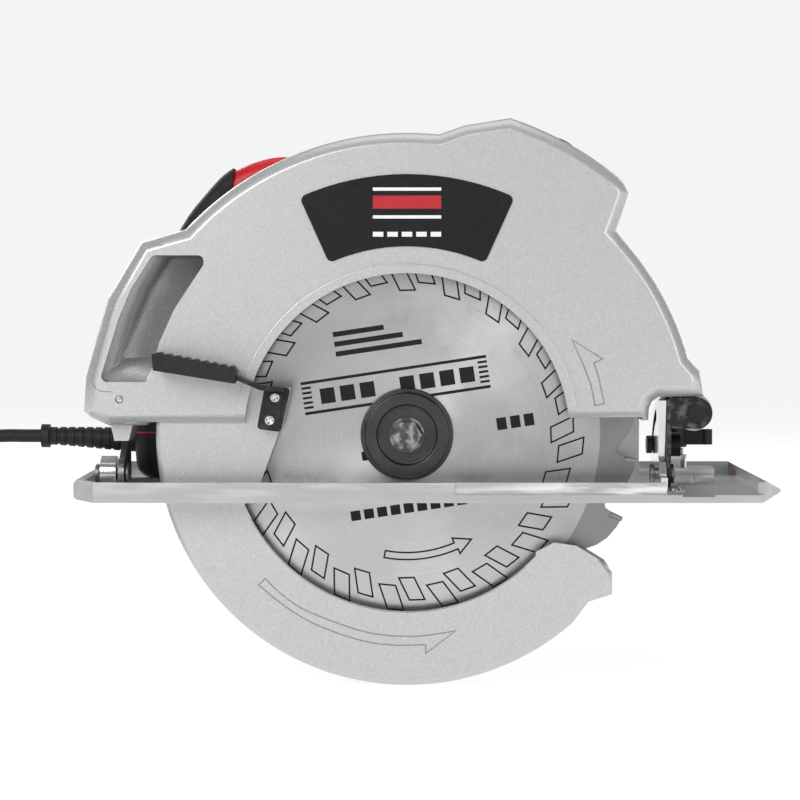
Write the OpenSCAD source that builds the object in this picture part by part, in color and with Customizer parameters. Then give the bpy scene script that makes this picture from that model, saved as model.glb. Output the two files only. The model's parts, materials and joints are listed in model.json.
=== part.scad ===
// Portable circular saw for a 235 mm blade, with bevel and depth setting.
// Frame: origin at the centre of the base sole, +X towards the front, +Y towards the motor, +Z up.
// The saw itself is drawn about the blade axis: u forward, w towards the motor, v up.

/* [Base plate] */
// Length of the base plate
base_l = 356; // [340:1:380]
// Width of the base plate
base_w = 155; // [150:1:170]
// Thickness of the tray floor
base_t = 3; // [2.5:0.5:3]
// Height of the rims
rim_h = 10; // [8:0.5:10]
// Thickness of the side rims
rim_t = 3; // [2.5:0.5:4]

/* [Blade] */
// Radius over the tooth tips
blade_r = 117.5; // [115:0.5:118]
// Number of teeth
tooth_count = 24; // [20:4:40]
// Thickness of the blade plate
blade_t = 1.6; // [1.4:0.1:1.8]
// Width of the carbide tips
tip_w = 2.4; // [2.2:0.1:2.8]
// Radius of the blade bore
blade_bore_r = 12.7; // [12.7:0.1:13]

/* [Placing] */
// Blade axis ahead of the base centre
blade_x = -10; // [-12:1:-9]
// Blade plane from the base centre line
blade_y = -42.5; // [-43:0.5:-42]
// Height of the blade axis over the sole at full depth
axis_z = 32; // [32:0.5:33]

/* [Guards] */
// Wall of the upper guard casting
wall = 3; // [2.5:0.5:3]
// Radius of the front opening of the upper guard
opening_r = 81.5; // [80.5:0.5:82]
// Outer radius of the lower guard
lower_r = 126.3; // [125:0.1:127]
// Inner radius of the lower guard's front rim
lower_in_r = 88.7; // [86:0.1:92]
// Wall of the lower guard
lower_t = 2; // [1.5:0.5:2]

/* [Motor] */
// Teeth of the spindle gear
gear_teeth = 40; // [40:1:40]
// Teeth of the motor pinion
pinion_teeth = 9; // [9:1:9]
// Gear module
gear_m = 1.15; // [1.15:0.01:1.15]
// Outer radius of the motor housing
motor_r = 44; // [43:0.5:45]

/* [Handle] */
// Width of the rear handle
handle_w = 34; // [32:1:36]
// Wall of the handle shells
shell_t = 3; // [2.5:0.5:3]

/* [Cord] */
// Radius of the cord
cord_r = 3.5; // [3:0.5:4]
// Mean radius of the coil
coil_r = 38.5; // [38:0.5:40]

/* [Hidden] */
$fn = 96;

// Clearances in radius: a pin that turns, and a piece that is fixed
run_gap = 0.05;
fix_gap = 0.02;

// Blade slot in the base, and the corners of the plate
slot_x0 = -140;
slot_x1 = 116;
slot_y0 = -62;
slot_y1 = -9;
corner_x = 13;
corner_y = 24;

// Bevel pivot, in base coordinates
recess_x0 = 13.6;
recess_x1 = 118.4;
recess_depth = 1.4;
low_rim_z = 4;
bevel_z = 12;
pivot_pin_r = 3;
quad_x = 117.3;
quad_t = 3.5;
quad_r = 38;
bolt_ring_r = 31;
bolt_angle = 25;
bevel_range = 45;
plate_x = 121.2;
plate_t = 2;
rear_plate_x = -156;
ear_x = -165;
ear_r = 9;

// Depth pivot, in blade coordinates
depth_u = 146;
depth_v = 11;
depth_r = 211;
depth_range = 35;
arc_w0 = 23.5;
arc_w1 = 26.5;
arm_w0 = 18.5;

// Depths of the guards
guard_w0 = -18;
guard_w1 = 21;
lower_w = 13.5;
snout_r = 24;
snout_w = 8.5;

// Back of the lever bracket, clear of the lip of the upper guard
bracket_w = -21.5;

// Gear train and motor, along the blade axis
motor_v = gear_m * (gear_teeth + pinion_teeth) / 2;
case_w = 44;
cover_w = 62;
housing_w = 150;
cap_w = 172;
case_r = 28;
ear_ring = 50;
cap_screws = [for (a = [45:90:315]) [32 * cos(a), motor_v + 32 * sin(a)]];
case_ears = [for (a = [45:90:315]) [ear_ring * cos(a), motor_v + ear_ring * sin(a)]];

// Handle
handle_w0 = 38;
handle_mid = handle_w0 + handle_w / 2;
handle_w1 = handle_w0 + handle_w;
grip_t = 1.8;
trigger_pivot = [-66, 110];
lock_off_at = [-78, 123];
handle_bosses = [[-44, 118], [-107, 98], [-123, 45], [-127, -8], [-62, 4], [-30, 90]];
front_bar = [72, 132];
front_bar_r = 15;
front_foot = [34, 66];

// Fence clamp, in base coordinates
fence_x0 = 126;
fence_x1 = 142;
fence_top = 8;
clamp_x = 132.3;
clamp_y = 12;

// Surface under the lower guard, where the spare cord lies
floor_z = axis_z - lower_r;
coil_at = [-292, -33];
cord_y = 12.5;
coil_half = 3 * cord_r;
plug_at = [coil_at[0] - coil_r - 2 * cord_r, -66];
plug_h = 19;

function arc_pts(r, a0, a1, n) =
    [for (i = [0:n]) r * [cos(a0 + (a1 - a0) * i / n), sin(a0 + (a1 - a0) * i / n)]];

module at_axis() translate([blade_x, blade_y, axis_z]) children();

// A flat outline in u and v, made solid between two depths
module slab(w0, w1) translate([0, w1, 0]) rotate([90, 0, 0]) linear_extrude(w1 - w0) children();

// A round bar along the blade axis
module rod(r, w0, w1) translate([0, w1, 0]) rotate([90, 0, 0]) cylinder(r = r, h = w1 - w0);

// The same about a point in u and v
module rod_at(p, r, w0, w1) translate([p[0], 0, p[1]]) rod(r, w0, w1);

// A plate across X, drawn in y and z
module cross_plate(x0, x1) translate([x0, 0, 0]) rotate([90, 0, 90]) linear_extrude(x1 - x0) children();

// ---- base ----

module base_outline() polygon([
    [-base_l / 2, -base_w / 2 + corner_y], [-base_l / 2 + corner_x, -base_w / 2],
    [base_l / 2 - corner_x, -base_w / 2], [base_l / 2, -base_w / 2 + corner_y],
    [base_l / 2, base_w / 2 - 8], [base_l / 2 - 8, base_w / 2],
    [-base_l / 2 + 8, base_w / 2], [-base_l / 2, base_w / 2 - 8]]);

module base_side() polygon([
    [-base_l / 2, 1], [-base_l / 2 + 1.5, 0], [base_l / 2 - 12, 0], [base_l / 2, 3.5],
    [base_l / 2, 5], [base_l / 2 - 9, rim_h], [-base_l / 2 + 2, rim_h], [-base_l / 2, rim_h - 2]]);

module base_plate() color("whitesmoke") difference() {
    intersection() {
        linear_extrude(rim_h) base_outline();
        slab(-base_w / 2, base_w / 2) base_side();
    }
    // tray
    translate([0, 0, base_t]) linear_extrude(rim_h) intersection() {
        offset(delta = -rim_t) base_outline();
        square([base_l - 13.2, base_w], center = true);
    }
    // the near rim is thinned along the front half, and low beyond the tilt bracket
    translate([recess_x0, -base_w / 2 - 1, low_rim_z]) cube([recess_x1 - recess_x0, recess_depth + 1, rim_h]);
    translate([recess_x1, -base_w / 2 - 1, low_rim_z]) cube([base_l / 2 - 8.4 - recess_x1, rim_t + 2, rim_h]);
    // blade slot
    translate([slot_x0, slot_y0, -1]) cube([slot_x1 - slot_x0, slot_y1 - slot_y0, base_t + 2]);
    // guide bar slot through both side rims
    translate([fence_x0, -base_w / 2 - 1, base_t])
        cube([fence_x1 - fence_x0, base_w + 2, fence_top - base_t]);
    // rivet holes
    for (p = rivet_places()) translate([p[0], p[1], -1]) cylinder(r = 2.5 + fix_gap, h = base_t + 2);
}

function rivet_places() = [[124.8, -52], [124.8, -8], [-161, -56], [-161, -29]];

module bevel_quadrant() color("silver") difference() {
    union() {
        cross_plate(quad_x, quad_x + quad_t) difference() {
            union() {
                translate([blade_y, bevel_z]) circle(r = 9);
                translate([blade_y, bevel_z]) polygon(concat([[0, 0]], arc_pts(quad_r, 5, 100, 24)));
                translate([-58, base_t]) square([56, 8]);
            }
            translate([blade_y, bevel_z]) circle(r = pivot_pin_r + fix_gap);
            translate([blade_y, bevel_z]) polygon(concat(
                arc_pts(bolt_ring_r - pivot_pin_r - 0.1, bolt_angle, bolt_angle + bevel_range, 16),
                arc_pts(bolt_ring_r + pivot_pin_r + 0.1, bolt_angle + bevel_range, bolt_angle, 16)));
        }
        // riveted feet
        for (y = [-58, -14]) translate([quad_x, y, base_t]) cube([12.5, 12, 1.5]);
    }
    for (a = [bolt_angle, bolt_angle + bevel_range])
        translate([quad_x - 1, blade_y + bolt_ring_r * cos(a), bevel_z + bolt_ring_r * sin(a)])
            rotate([0, 90, 0]) cylinder(r = pivot_pin_r + 0.1, h = quad_t + 2);
    for (p = rivet_places()) translate([p[0], p[1], 0]) cylinder(r = 2.5 + fix_gap, h = 10);
    // room for the tilting plate above the feet
    translate([plate_x - 0.3, -50, base_t + 1]) cube([4, 38, 10]);
}

module rear_bevel_ear() color("silver") difference() {
    union() {
        cross_plate(ear_x, ear_x + 8) {
            translate([blade_y, bevel_z]) circle(r = ear_r);
            translate([blade_y - ear_r, base_t]) square([2 * ear_r, bevel_z - base_t]);
        }
        translate([ear_x, blade_y - 19, base_t]) cube([8, 38, 2.5]);
    }
    translate([ear_x - 1, blade_y, bevel_z]) rotate([0, 90, 0]) cylinder(r = pivot_pin_r + fix_gap, h = 12);
    for (p = rivet_places()) translate([p[0], p[1], 0]) cylinder(r = 2.5 + fix_gap, h = 10);
}

module bracket_rivets() color("gray") for (i = [0:3]) {
    p = rivet_places()[i];
    top = i < 2 ? base_t + 1.5 : base_t + 2.5;
    translate([p[0], p[1], 0.2]) cylinder(r = 2.5, h = top - 0.2);
    translate([p[0], p[1], top]) cylinder(r1 = 3.4, r2 = 2.6, h = 1.6);
}

module bevel_pivot_pins() color("dimgray") {
    // front pin, through the quadrant and the tilting plate
    translate([quad_x - 2, blade_y, bevel_z]) rotate([0, 90, 0]) cylinder(r = pivot_pin_r, h = 9);
    translate([quad_x - 4, blade_y, bevel_z]) rotate([0, 90, 0]) cylinder(r = 5, h = 2.2);
    translate([plate_x + plate_t + 0.3, blade_y, bevel_z]) rotate([0, 90, 0]) cylinder(r = 5, h = 2);
    // rear pin
    translate([ear_x - 1, blade_y, bevel_z]) rotate([0, 90, 0]) cylinder(r = pivot_pin_r, h = 14);
    translate([ear_x - 3, blade_y, bevel_z]) rotate([0, 90, 0]) cylinder(r = 5, h = 2.2);
    translate([rear_plate_x + 3.3, blade_y, bevel_z]) rotate([0, 90, 0]) cylinder(r = 5, h = 1.6);
}

module fence_clamp_bridge() color("silver") difference() {
    union() {
        translate([124, clamp_y - 8, base_t]) cube([28, 16, 8.5]);
        translate([127, clamp_y - 6, 11]) cube([7.5, 12, 7]);
        translate([clamp_x, clamp_y, 11]) cylinder(r = 6, h = 7);
    }
    translate([fence_x0, clamp_y - 9, base_t - 1]) cube([fence_x1 - fence_x0, 18, fence_top - base_t + 1]);
    translate([clamp_x, clamp_y, 0]) cylinder(r = 3 + run_gap, h = 30);
}

module fence_clamp_spring() color("silver") for (i = [0:3])
    translate([clamp_x, clamp_y, 18.4 + i])
        rotate_extrude($fn = 32) translate([4.1, 0]) circle(r = 0.4, $fn = 16);

module fence_clamp_knob() color("black") translate([clamp_x, clamp_y, 0]) {
    translate([0, 0, 8.3]) cylinder(r = 3, h = 16);
    translate([0, 0, 22.3]) cylinder(r = 6, h = 11);
    // one wing
    translate([3, -3, 23.5]) cube([13, 6, 8]);
    translate([16, 0, 23.5]) cylinder(r = 3.6, h = 8);
}

// ---- tilting frame ----

module front_tilt_bracket() color("black") difference() {
    union() {
        cross_plate(plate_x, plate_x + plate_t) {
            translate([blade_y, bevel_z]) circle(r = 8);
            polygon([[-42.5, 4.4], [-16, 5], [-7, 14], [-5.5, 26],
                     [-9, 36], [-16, 50], [-50, 50], [-50, 18]]);
        }
        // two cheeks that hold the depth pivot
        at_axis() for (w = [-7.5, 15]) slab(w, w + 12) hull() {
            translate([depth_u, depth_v]) circle(r = 8);
            translate([plate_x + plate_t - blade_x, depth_v - 7.5]) square([1, 15.3]);
        }
        // web that joins the cheeks
        translate([plate_x + plate_t, -50, 35.7]) cube([2.5, 34, 14]);
    }
    for (s = [[blade_y, bevel_z],
              [blade_y + bolt_ring_r * cos(bolt_angle), bevel_z + bolt_ring_r * sin(bolt_angle)]])
        translate([plate_x - 1, s[0], s[1]]) rotate([0, 90, 0]) cylinder(r = pivot_pin_r + run_gap, h = 4);
    at_axis() rod_at([depth_u, depth_v], pivot_pin_r + fix_gap, -20, 40);
}

module rear_tilt_bracket() color("dimgray") difference() {
    union() {
        cross_plate(rear_plate_x, rear_plate_x + 3) {
            translate([blade_y, bevel_z]) circle(r = 8);
            polygon([[blade_y, 4], [-16, 4], [-16, 24], [-30, 28], [blade_y, 20]]);
        }
        // low arm to the depth arc
        translate([rear_plate_x, blade_y + arm_w0, 4]) cube([96, arc_w1 - arm_w0, 4]);
    }
    translate([rear_plate_x - 1, blade_y, bevel_z])
        rotate([0, 90, 0]) cylinder(r = pivot_pin_r + run_gap, h = 6);
}

module depth_arc() color("silver") at_axis() slab(arc_w0, arc_w1) difference() {
    union() {
        translate([depth_u, depth_v]) polygon(concat(arc_pts(depth_r - 8, 143, 189, 40),
                                                     arc_pts(depth_r + 8, 189, 143, 40)));
        translate([-86, 8 - axis_z]) square([32, 6]);
    }
    translate([depth_u, depth_v]) polygon(concat(arc_pts(depth_r - 3.2, 180 - depth_range, 180, 36),
                                                 arc_pts(depth_r + 3.2, 180, 180 - depth_range, 36)));
    for (a = [180, 180 - depth_range]) translate([depth_u + depth_r * cos(a), depth_v + depth_r * sin(a)])
        circle(r = 3.2);
}

module depth_pivot_pin() color("dimgray") at_axis() {
    rod_at([depth_u, depth_v], pivot_pin_r, -9, 29);
    rod_at([depth_u, depth_v], 4.6, -9.5, -7.6);
    rod_at([depth_u, depth_v], 4.6, 27.1, 29);
}

module bevel_lock_lever() color("black")
    translate([0, blade_y + bolt_ring_r * cos(bolt_angle), bevel_z + bolt_ring_r * sin(bolt_angle)]) {
        translate([quad_x - 1, 0, 0]) rotate([0, 90, 0]) cylinder(r = pivot_pin_r, h = 10);
        translate([quad_x - 3, 0, 0]) rotate([0, 90, 0]) cylinder(r = 4.6, h = 2.7);
        translate([plate_x + plate_t + 0.3, 0, 0]) rotate([0, 90, 0]) cylinder(r = 6.2, h = 8);
        translate([126, 2, -4]) cube([5, 12, 8]);
        translate([126, 14, 0]) rotate([0, 90, 0]) cylinder(r = 4, h = 5);
    }

// ---- guards ----

// Side view of the upper guard: two arcs joined by the bump, and the chip box at the rear
module guard_outline() polygon(concat(
    [[121.1, 7.8], [121.4, 13.6], [122.8, 17.2], [126.2, 19.4], [148.9, 19.9], [147, 32.5]],
    arc_pts(146.5, 15.5, 44.5, 12),
    [[111.2, 121.2]],
    arc_pts(167, 49.5, 72, 10),
    [[40.1, 157], [28.5, 155.1]],
    arc_pts(151.5, 84, 137, 24),
    [[-133, 97.1], [-150, 68.5], [-161, 29.5], [-162.2, 12.4], [-158.4, 9], [-149.7, 5.2], [-88.2, 5.2]]));

// Opening of the chip box
module chip_window() offset(r = 3) offset(delta = -3) polygon([
    [-126.9, 90.4], [-101.3, 90.4], [-101.5, 85.6], [-116.1, 63.6], [-123.8, 46.5], [-129.3, 27.1],
    [-151.3, 27.1], [-153.1, 29.5], [-143.9, 58.9], [-137.8, 73.4]]);

module chip_wall() polygon(concat(arc_pts(129.5, 137, 177, 20), arc_pts(132, 177, 137, 20)));

module guard_cavity() difference() {
    union() {
        offset(delta = -wall) guard_outline();
        translate([-131, -30]) square([249, 45]);
    }
    chip_wall();
}

module upper_guard() color("gainsboro") at_axis() difference() {
    union() {
        difference() {
            union() {
                slab(guard_w0, guard_w1) guard_outline();
                // rolled lip round the opening
                slab(guard_w0 - 1.2, guard_w0) intersection() {
                    circle(r = opening_r + 4.5);
                    translate([-100, 8]) square([200, 100]);
                }
            }
            slab(guard_w0 + wall, guard_w1 - wall) guard_cavity();
            rod(opening_r, guard_w0 - 2, guard_w0 + wall + 0.5);
            slab(guard_w0 - 1, guard_w0 + wall + 0.5) chip_window();
        }
        // slanted back of the chip box
        intersection() {
            slab(guard_w0 + wall, guard_w1 - wall) difference() {
                offset(delta = -wall + 0.5) guard_outline();
                circle(r = 131);
            }
            translate([0, 0, 20]) linear_extrude(78) polygon([[-164, -9], [-98, 16], [-98, 20], [-164, -5]]);
        }
        // skirt behind the front of the blade
        slab(guard_w1 - wall, guard_w1)
            polygon([[62, 9], [62, 2], [104, -22], [116, -25.5], [119.5, -21], [119.5, 9]]);
        // leg under the chip box
        slab(-6, guard_w1) polygon([[-149.7, 5.3], [-147.8, -3], [-140.6, -3], [-138.5, 5.3]]);
        // ring that carries the gear case
        slab(guard_w1 - wall, guard_w1) union() {
            circle(r = case_r);
            translate([-case_r, 0]) square([2 * case_r, 12]);
        }
        // lug on the depth pivot
        slab(4.8, 14.2) hull() {
            translate([depth_u, depth_v]) circle(r = 9.5);
            translate([depth_u - 10, 20]) square([12, 2]);
        }
    }
    rod(snout_r + 0.2, guard_w1 - wall - 1, guard_w1 + 1);
    rod_at([depth_u, depth_v], pivot_pin_r + run_gap, 0, 20);
    rod_at([depth_u + depth_r * cos(180), depth_v], 3 + fix_gap, guard_w1 - wall - 1, guard_w1 + 1);
    rod_at([-143.8, 18.4], 2, guard_w0 - 1, guard_w0 + wall);
    for (p = case_ears) if (p[1] < 0) rod_at(p, 3, guard_w1 - wall - 1, guard_w1 + 1);
    rod_at(front_bar, 3 + fix_gap, guard_w1 - wall - 1, guard_w1 + 1);
}

module label_plate() color("black") at_axis() slab(guard_w0 - 0.7, guard_w0) offset(r = 3) offset(delta = -3)
    polygon(concat(arc_pts(130.7, 65.8, 114.2, 16), arc_pts(94.8, 114.2, 65.8, 16)));

// Outer edge of the lower guard, with the lobe at its front end
function lower_edge() = concat(arc_pts(lower_r, 168.8, 311.4, 48), [[91.5, -84.1], [103.5, -80.2],
    [103.5, -69], [101, -65], [85.2, -55.4], [74, -53.8], [64.7, -58.6]]);

module lower_front() polygon(concat(lower_edge(), arc_pts(lower_in_r, 317, 203, 40),
    [[-73.4, -23.2], [-64.8, 0.3], [-58, 24.5]]));

module lower_back() polygon(concat(lower_edge(), [[22, -20], [22, 10], [-10, 24], [-58, 24.5]]));

module bracket_outline() offset(r = 2) offset(delta = -2)
    polygon([[-70.8, 24.8], [-57.9, 24.6], [-62.8, 2.4], [-74.8, 4]]);

module lower_guard() color("gainsboro") at_axis() difference() {
    union() {
        slab(-lower_w, -lower_w + lower_t) lower_front();
        slab(lower_w - lower_t, lower_w) lower_back();
        rod(30, 9, lower_w);
        // outer rim, clear of the blade at both open ends
        slab(-lower_w, lower_w) difference() {
            lower_front();
            offset(delta = -2.5) lower_back();
            circle(r = blade_r + 2);
        }
        // boss behind the lever bracket
        slab(bracket_w, -lower_w) bracket_outline();
    }
    rod(snout_r + run_gap, 8, lower_w + 1);
    for (p = bracket_screw_places()) rod_at(p, 1.6 + fix_gap, bracket_w - 1, bracket_w + 7);
}

function bracket_screw_places() = [[-65.6, 19.7], [-68.3, 8.3]];

// Lever strip seen edge-on, from the bracket out to the grip
function strip_line() = [[-60, 23.8], [-72, 24.6], [-86, 30.6], [-122, 37.4]];

module lever_strip(t) for (i = [0:2]) hull() {
    translate(strip_line()[i]) circle(d = t, $fn = 16);
    translate(strip_line()[i + 1]) circle(d = t, $fn = 16);
}

module guard_lever_bracket() color("black") at_axis() difference() {
    union() {
        slab(bracket_w - 2, bracket_w) bracket_outline();
        slab(bracket_w - 14, bracket_w) intersection() {
            lever_strip(2);
            translate([-130, 0]) square([69, 60]);
        }
    }
    for (p = bracket_screw_places()) rod_at(p, 1.6 + fix_gap, bracket_w - 3, bracket_w + 1);
}

module bracket_screws() color("silver") at_axis() for (p = bracket_screw_places()) {
    rod_at(p, 1.6, bracket_w - 2, bracket_w + 6.5);
    translate([p[0], bracket_w - 2, p[1]]) rotate([90, 0, 0]) cylinder(r1 = 3.1, r2 = 2.2, h = 1.8);
}

module guard_lever_grip() color("black") at_axis() difference() {
    slab(bracket_w - 16, bracket_w + 0.2) union() {
        polygon([[-125, 33.5], [-85, 27], [-84, 33.5], [-125.5, 41.5]]);
        for (i = [0:8]) translate([-122.5 + 4.5 * i, 40.4 - 0.85 * i]) circle(r = 2, $fn = 24);
    }
    slab(bracket_w - 14.05, bracket_w + 1) lever_strip(2.1);
}

module guard_spring() color("gray") at_axis() {
    for (w = [14.8, 16.2]) translate([0, w, 0]) rotate([90, 0, 0])
        rotate_extrude() translate([26, 0]) circle(r = 0.65, $fn = 16);
    rod_at([26, 0], 0.65, 14.8, 17.9);
}

module guard_retaining_ring() color("silver") at_axis() difference() {
    rod(28, 7, snout_w);
    rod(12.5, 6, 9);
}

// ---- gear train ----

// Involute tooth flanks; the thickness is given as a share of the pitch
function involute(rb, t) = rb * [cos(t) + t * PI / 180 * sin(t), sin(t) - t * PI / 180 * cos(t)];

function roll(rb, r) = 180 / PI * sqrt(max(0, r * r / (rb * rb) - 1));

function turned(p, a) = [p[0] * cos(a) - p[1] * sin(a), p[0] * sin(a) + p[1] * cos(a)];

function flank(rb, r0, r1, n) =
    [for (i = [0:n]) involute(rb, roll(rb, max(rb, r0) + (r1 - max(rb, r0)) * i / n))];

function polar(p) = atan2(p[1], p[0]);

function tooth(n, add, ded, share) =
    let (rp = gear_m * n / 2, rb = rp * cos(25), r1 = rp + gear_m * add, r0 = rp - gear_m * ded)
    let (half = 360 * share / n / 2 + polar(involute(rb, roll(rb, rp))))
    let (side = [for (p = flank(rb, r0, r1, 4)) turned(p, -half)])
    concat([r0 * [cos(-half), sin(-half)]], side, [for (i = [4:-1:0]) [side[i][0], -side[i][1]]],
           [r0 * [cos(half), sin(half)]]);

module gear_outline(n, add, ded, share) {
    rp = gear_m * n / 2;
    polygon([for (k = [0:n - 1]) for (p = tooth(n, add, ded, share)) turned(p, 360 * k / n)]);
    circle(r = rp - gear_m * ded + 0.05);
}

module spindle_gear() color("gray") at_axis() difference() {
    slab(24, 36) rotate(90 + 180 / gear_teeth) gear_outline(gear_teeth, 0.7, 1.1, 0.44);
    rod(10 + fix_gap, 23, 37);
    // lightening holes
    for (a = [0:60:300]) rod_at([15.5 * cos(a), 15.5 * sin(a)], 2.5, 23, 37);
}

module pinion() color("gray") at_axis() translate([0, 0, motor_v]) difference() {
    slab(23.5, 37) rotate(-90) gear_outline(pinion_teeth, 0.9, 0.85, 0.44);
    rod(3 + fix_gap, 23, 38);
}

module spindle() color("gray") at_axis() difference() {
    union() {
        rod(8, 1, 6.5);
        rod(10, 6.5, 40);
        rod(6, 40, 54);
    }
    rod(4 + fix_gap, 0, 25);
}

module spindle_bearings() color("silver") at_axis() {
    difference() {
        rod(17.5, 9.6, 20);
        rod(10 + run_gap, 9, 21);
    }
    difference() {
        rod(11, 44.5, 54);
        rod(6 + run_gap, 44, 55);
    }
}

module case_outline() hull() {
    circle(r = case_r);
    translate([0, 30]) circle(r = case_r);
}

module gear_case() color("silver") at_axis() difference() {
    union() {
        rod(snout_r, snout_w, guard_w1);
        slab(guard_w1, case_w) case_outline();
        // boss of the spindle lock
        translate([24, 30, 0]) rotate([0, 90, 0]) cylinder(r = 7, h = 9);
    }
    rod(13, snout_w - 1, 10);
    rod(17.5 + fix_gap, 9.6, 23);
    slab(23, case_w + 1) hull() {
        circle(r = 25.2);
        translate([0, motor_v]) circle(r = 9);
    }
    translate([15, 30, 0]) rotate([0, 90, 0]) cylinder(r = 3 + run_gap, h = 30);
}

module gear_case_cover() color("silver") at_axis() difference() {
    union() {
        slab(case_w, cover_w) translate([0, motor_v]) circle(r = motor_r + 1);
        slab(case_w, case_w + 4) case_outline();
        for (p = case_ears) rod_at(p, 6, case_w, cover_w);
    }
    rod(11 + fix_gap, case_w - 1, 54);
    rod_at([0, motor_v], 7.5, case_w - 1, 52);
    rod_at([0, motor_v], 13 + fix_gap, 51, cover_w + 1);
    for (p = case_ears) rod_at(p, 2.5 + fix_gap, case_w + 2, cover_w + 1);
}

module gear_case_screws() color("gray") at_axis() for (p = case_ears) {
    rod_at(p, 2.5, case_w + 3, 72);
    rod_at(p, 4.5, 72, 76);
}

// ---- motor ----

module motor_housing() color("crimson") at_axis() difference() {
    union() {
        rod_at([0, motor_v], motor_r, cover_w, housing_w);
        for (p = case_ears) rod_at(p, 6, cover_w, 72);
        rod_at([0, motor_v], motor_r + 1, housing_w - 6, housing_w);
    }
    rod_at([0, motor_v], motor_r - 3.5, cover_w - 1, housing_w + 1);
    for (p = case_ears) rod_at(p, 2.5 + fix_gap, cover_w - 1, 73);
    // outlet slots round the fan
    translate([0, 0, motor_v]) for (a = [-60:12:60])
        rotate([0, a - 90, 0]) translate([-1.5, 80, 30]) cube([3, 12, 20]);
    translate([0, 0, motor_v]) for (s = [-1, 1]) rotate([0, 90 * s, 0]) translate([0, 142, 30])
        cylinder(r = 7.5 + fix_gap, h = 20);
}

module motor_end_cap() color("dimgray") at_axis() difference() {
    union() {
        rod_at([0, motor_v], motor_r, housing_w, 162);
        translate([0, 162, motor_v])
            rotate([-90, 0, 0]) cylinder(r1 = motor_r, r2 = motor_r - 12, h = cap_w - 162);
    }
    rod_at([0, motor_v], motor_r - 4, housing_w - 1, 158);
    rod_at([0, motor_v], 13 + fix_gap, 156, 166);
    for (x = [-12:8:12]) for (s = [-1, 1])
        translate([x - 2, 150, motor_v + (s > 0 ? 17 : -31)]) cube([4, 30, 14]);
    for (p = cap_screws) rod_at(p, 2 + fix_gap, housing_w, cap_w);
    for (p = cap_screws) rod_at(p, 3.7, 165.5, cap_w + 1);
}

module end_cap_screws() color("gray") at_axis() for (p = cap_screws) {
    rod_at(p, 2, 158.5, 165.5);
    rod_at(p, 3.6, 165.5, 168);
}

module stator() color("peru") at_axis() difference() {
    union() {
        rod_at([0, motor_v], motor_r - 3.6, 96, 128);
        rod_at([0, motor_v], 32, 92, 132);
    }
    rod_at([0, motor_v], 19.8, 90, 134);
}

module brush_holders() color("goldenrod") at_axis() for (s = [-1, 1])
    translate([0, 142, motor_v]) rotate([0, 90 * s, 0])
    difference() {
        translate([-5, -5, 15]) cube([10, 10, 25]);
        translate([-3.5, -3.5, 14]) cube([7, 7, 30]);
    }

module carbon_brushes() color("black") at_axis() for (s = [-1, 1])
    translate([0, 142, motor_v]) rotate([0, 90 * s, 0])
    translate([-3.45, -3.45, 13.6]) cube([6.9, 6.9, 17]);

module brush_caps() color("black") at_axis() for (s = [-1, 1])
    translate([0, 142, motor_v]) rotate([0, 90 * s, 0])
    difference() {
        translate([0, 0, 40.2]) cylinder(r = 7.5, h = 6);
        translate([-6, -0.8, 45]) cube([12, 1.6, 2]);
    }

module armature_bearings() color("silver") at_axis() for (w = [52.2, 156.5]) difference() {
    rod_at([0, motor_v], 13, w, w + 8);
    rod_at([0, motor_v], 5 + run_gap, w - 1, w + 9);
}

module armature() color("chocolate") at_axis() {
    rod_at([0, motor_v], 3, 23.3, 40);
    rod_at([0, motor_v], 5, 40, 164);
    rod_at([0, motor_v], 19, 96, 128);
    rod_at([0, motor_v], 16, 90, 96);
    rod_at([0, motor_v], 16, 128, 133);
    rod_at([0, motor_v], 13, 135, 150);
}

module cooling_fan() color("lightgray") at_axis() translate([0, 0, motor_v]) difference() {
    union() {
        rod(34, 72, 74);
        rod(9, 72, 86);
        for (a = [0:30:330]) rotate([0, a, 0]) translate([8, 73, -0.8]) cube([25, 11, 1.6]);
    }
    rod(5 + fix_gap, 70, 90);
}

// ---- blade ----

tip_angles = [for (i = [0:tooth_count - 1]) 9 + 360 / tooth_count * i];

module tip_block(grow) translate([blade_r - 6.8, -2.2 - grow]) square([6.8 + grow, 2.2 + 2 * grow]);

// One pitch of the rim: tooth face, rounded gullet and long back, as radius and share of the pitch
rim_steps = [[117.3, 0], [110, 0.02], [107.4, 0.05], [106.5, 0.1], [106.8, 0.16], [108.6, 0.26],
             [111.5, 0.38], [114.5, 0.57], [116.4, 0.8]];

module blade_outline() polygon([for (a = tip_angles) for (s = rim_steps)
    s[0] * [cos(a + 360 / tooth_count * s[1]), sin(a + 360 / tooth_count * s[1])]]);

module saw_blade() color("silver") at_axis() slab(-blade_t / 2, blade_t / 2) difference() {
    blade_outline();
    circle(r = blade_bore_r + fix_gap);
    for (a = tip_angles) rotate(a) tip_block(0.01);
}

module carbide_teeth() color("gray") at_axis() slab(-tip_w / 2, tip_w / 2)
    for (a = tip_angles) rotate(a) tip_block(0);

module inner_flange() color("gray") at_axis() difference() {
    union() {
        rod(blade_bore_r, -blade_t / 2, blade_t / 2);
        rod(23.5, blade_t / 2, 5.5);
        rod(12, 5.4, 6.5);
    }
    rod(8 + fix_gap, 0.9, 7);
    rod(4.3, -2, 2);
}

module outer_flange() color("dimgray") at_axis() difference() {
    union() {
        rod(23.5, -4.3, -blade_t / 2);
        rod(21.2, -7.5, -4.3);
    }
    rod(15.2, -8, -4.5);
    rod(4.3, -5, 0);
}

module blade_bolt() color("gray") at_axis() {
    rod(4, -4.5, 22);
    rod(8.9, -6.5, -4.5);
    translate([0, -6.5, 0]) rotate([90, 0, 0]) cylinder(r = 7.5, h = 5.5, $fn = 6);
}

// ---- handles ----

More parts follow.
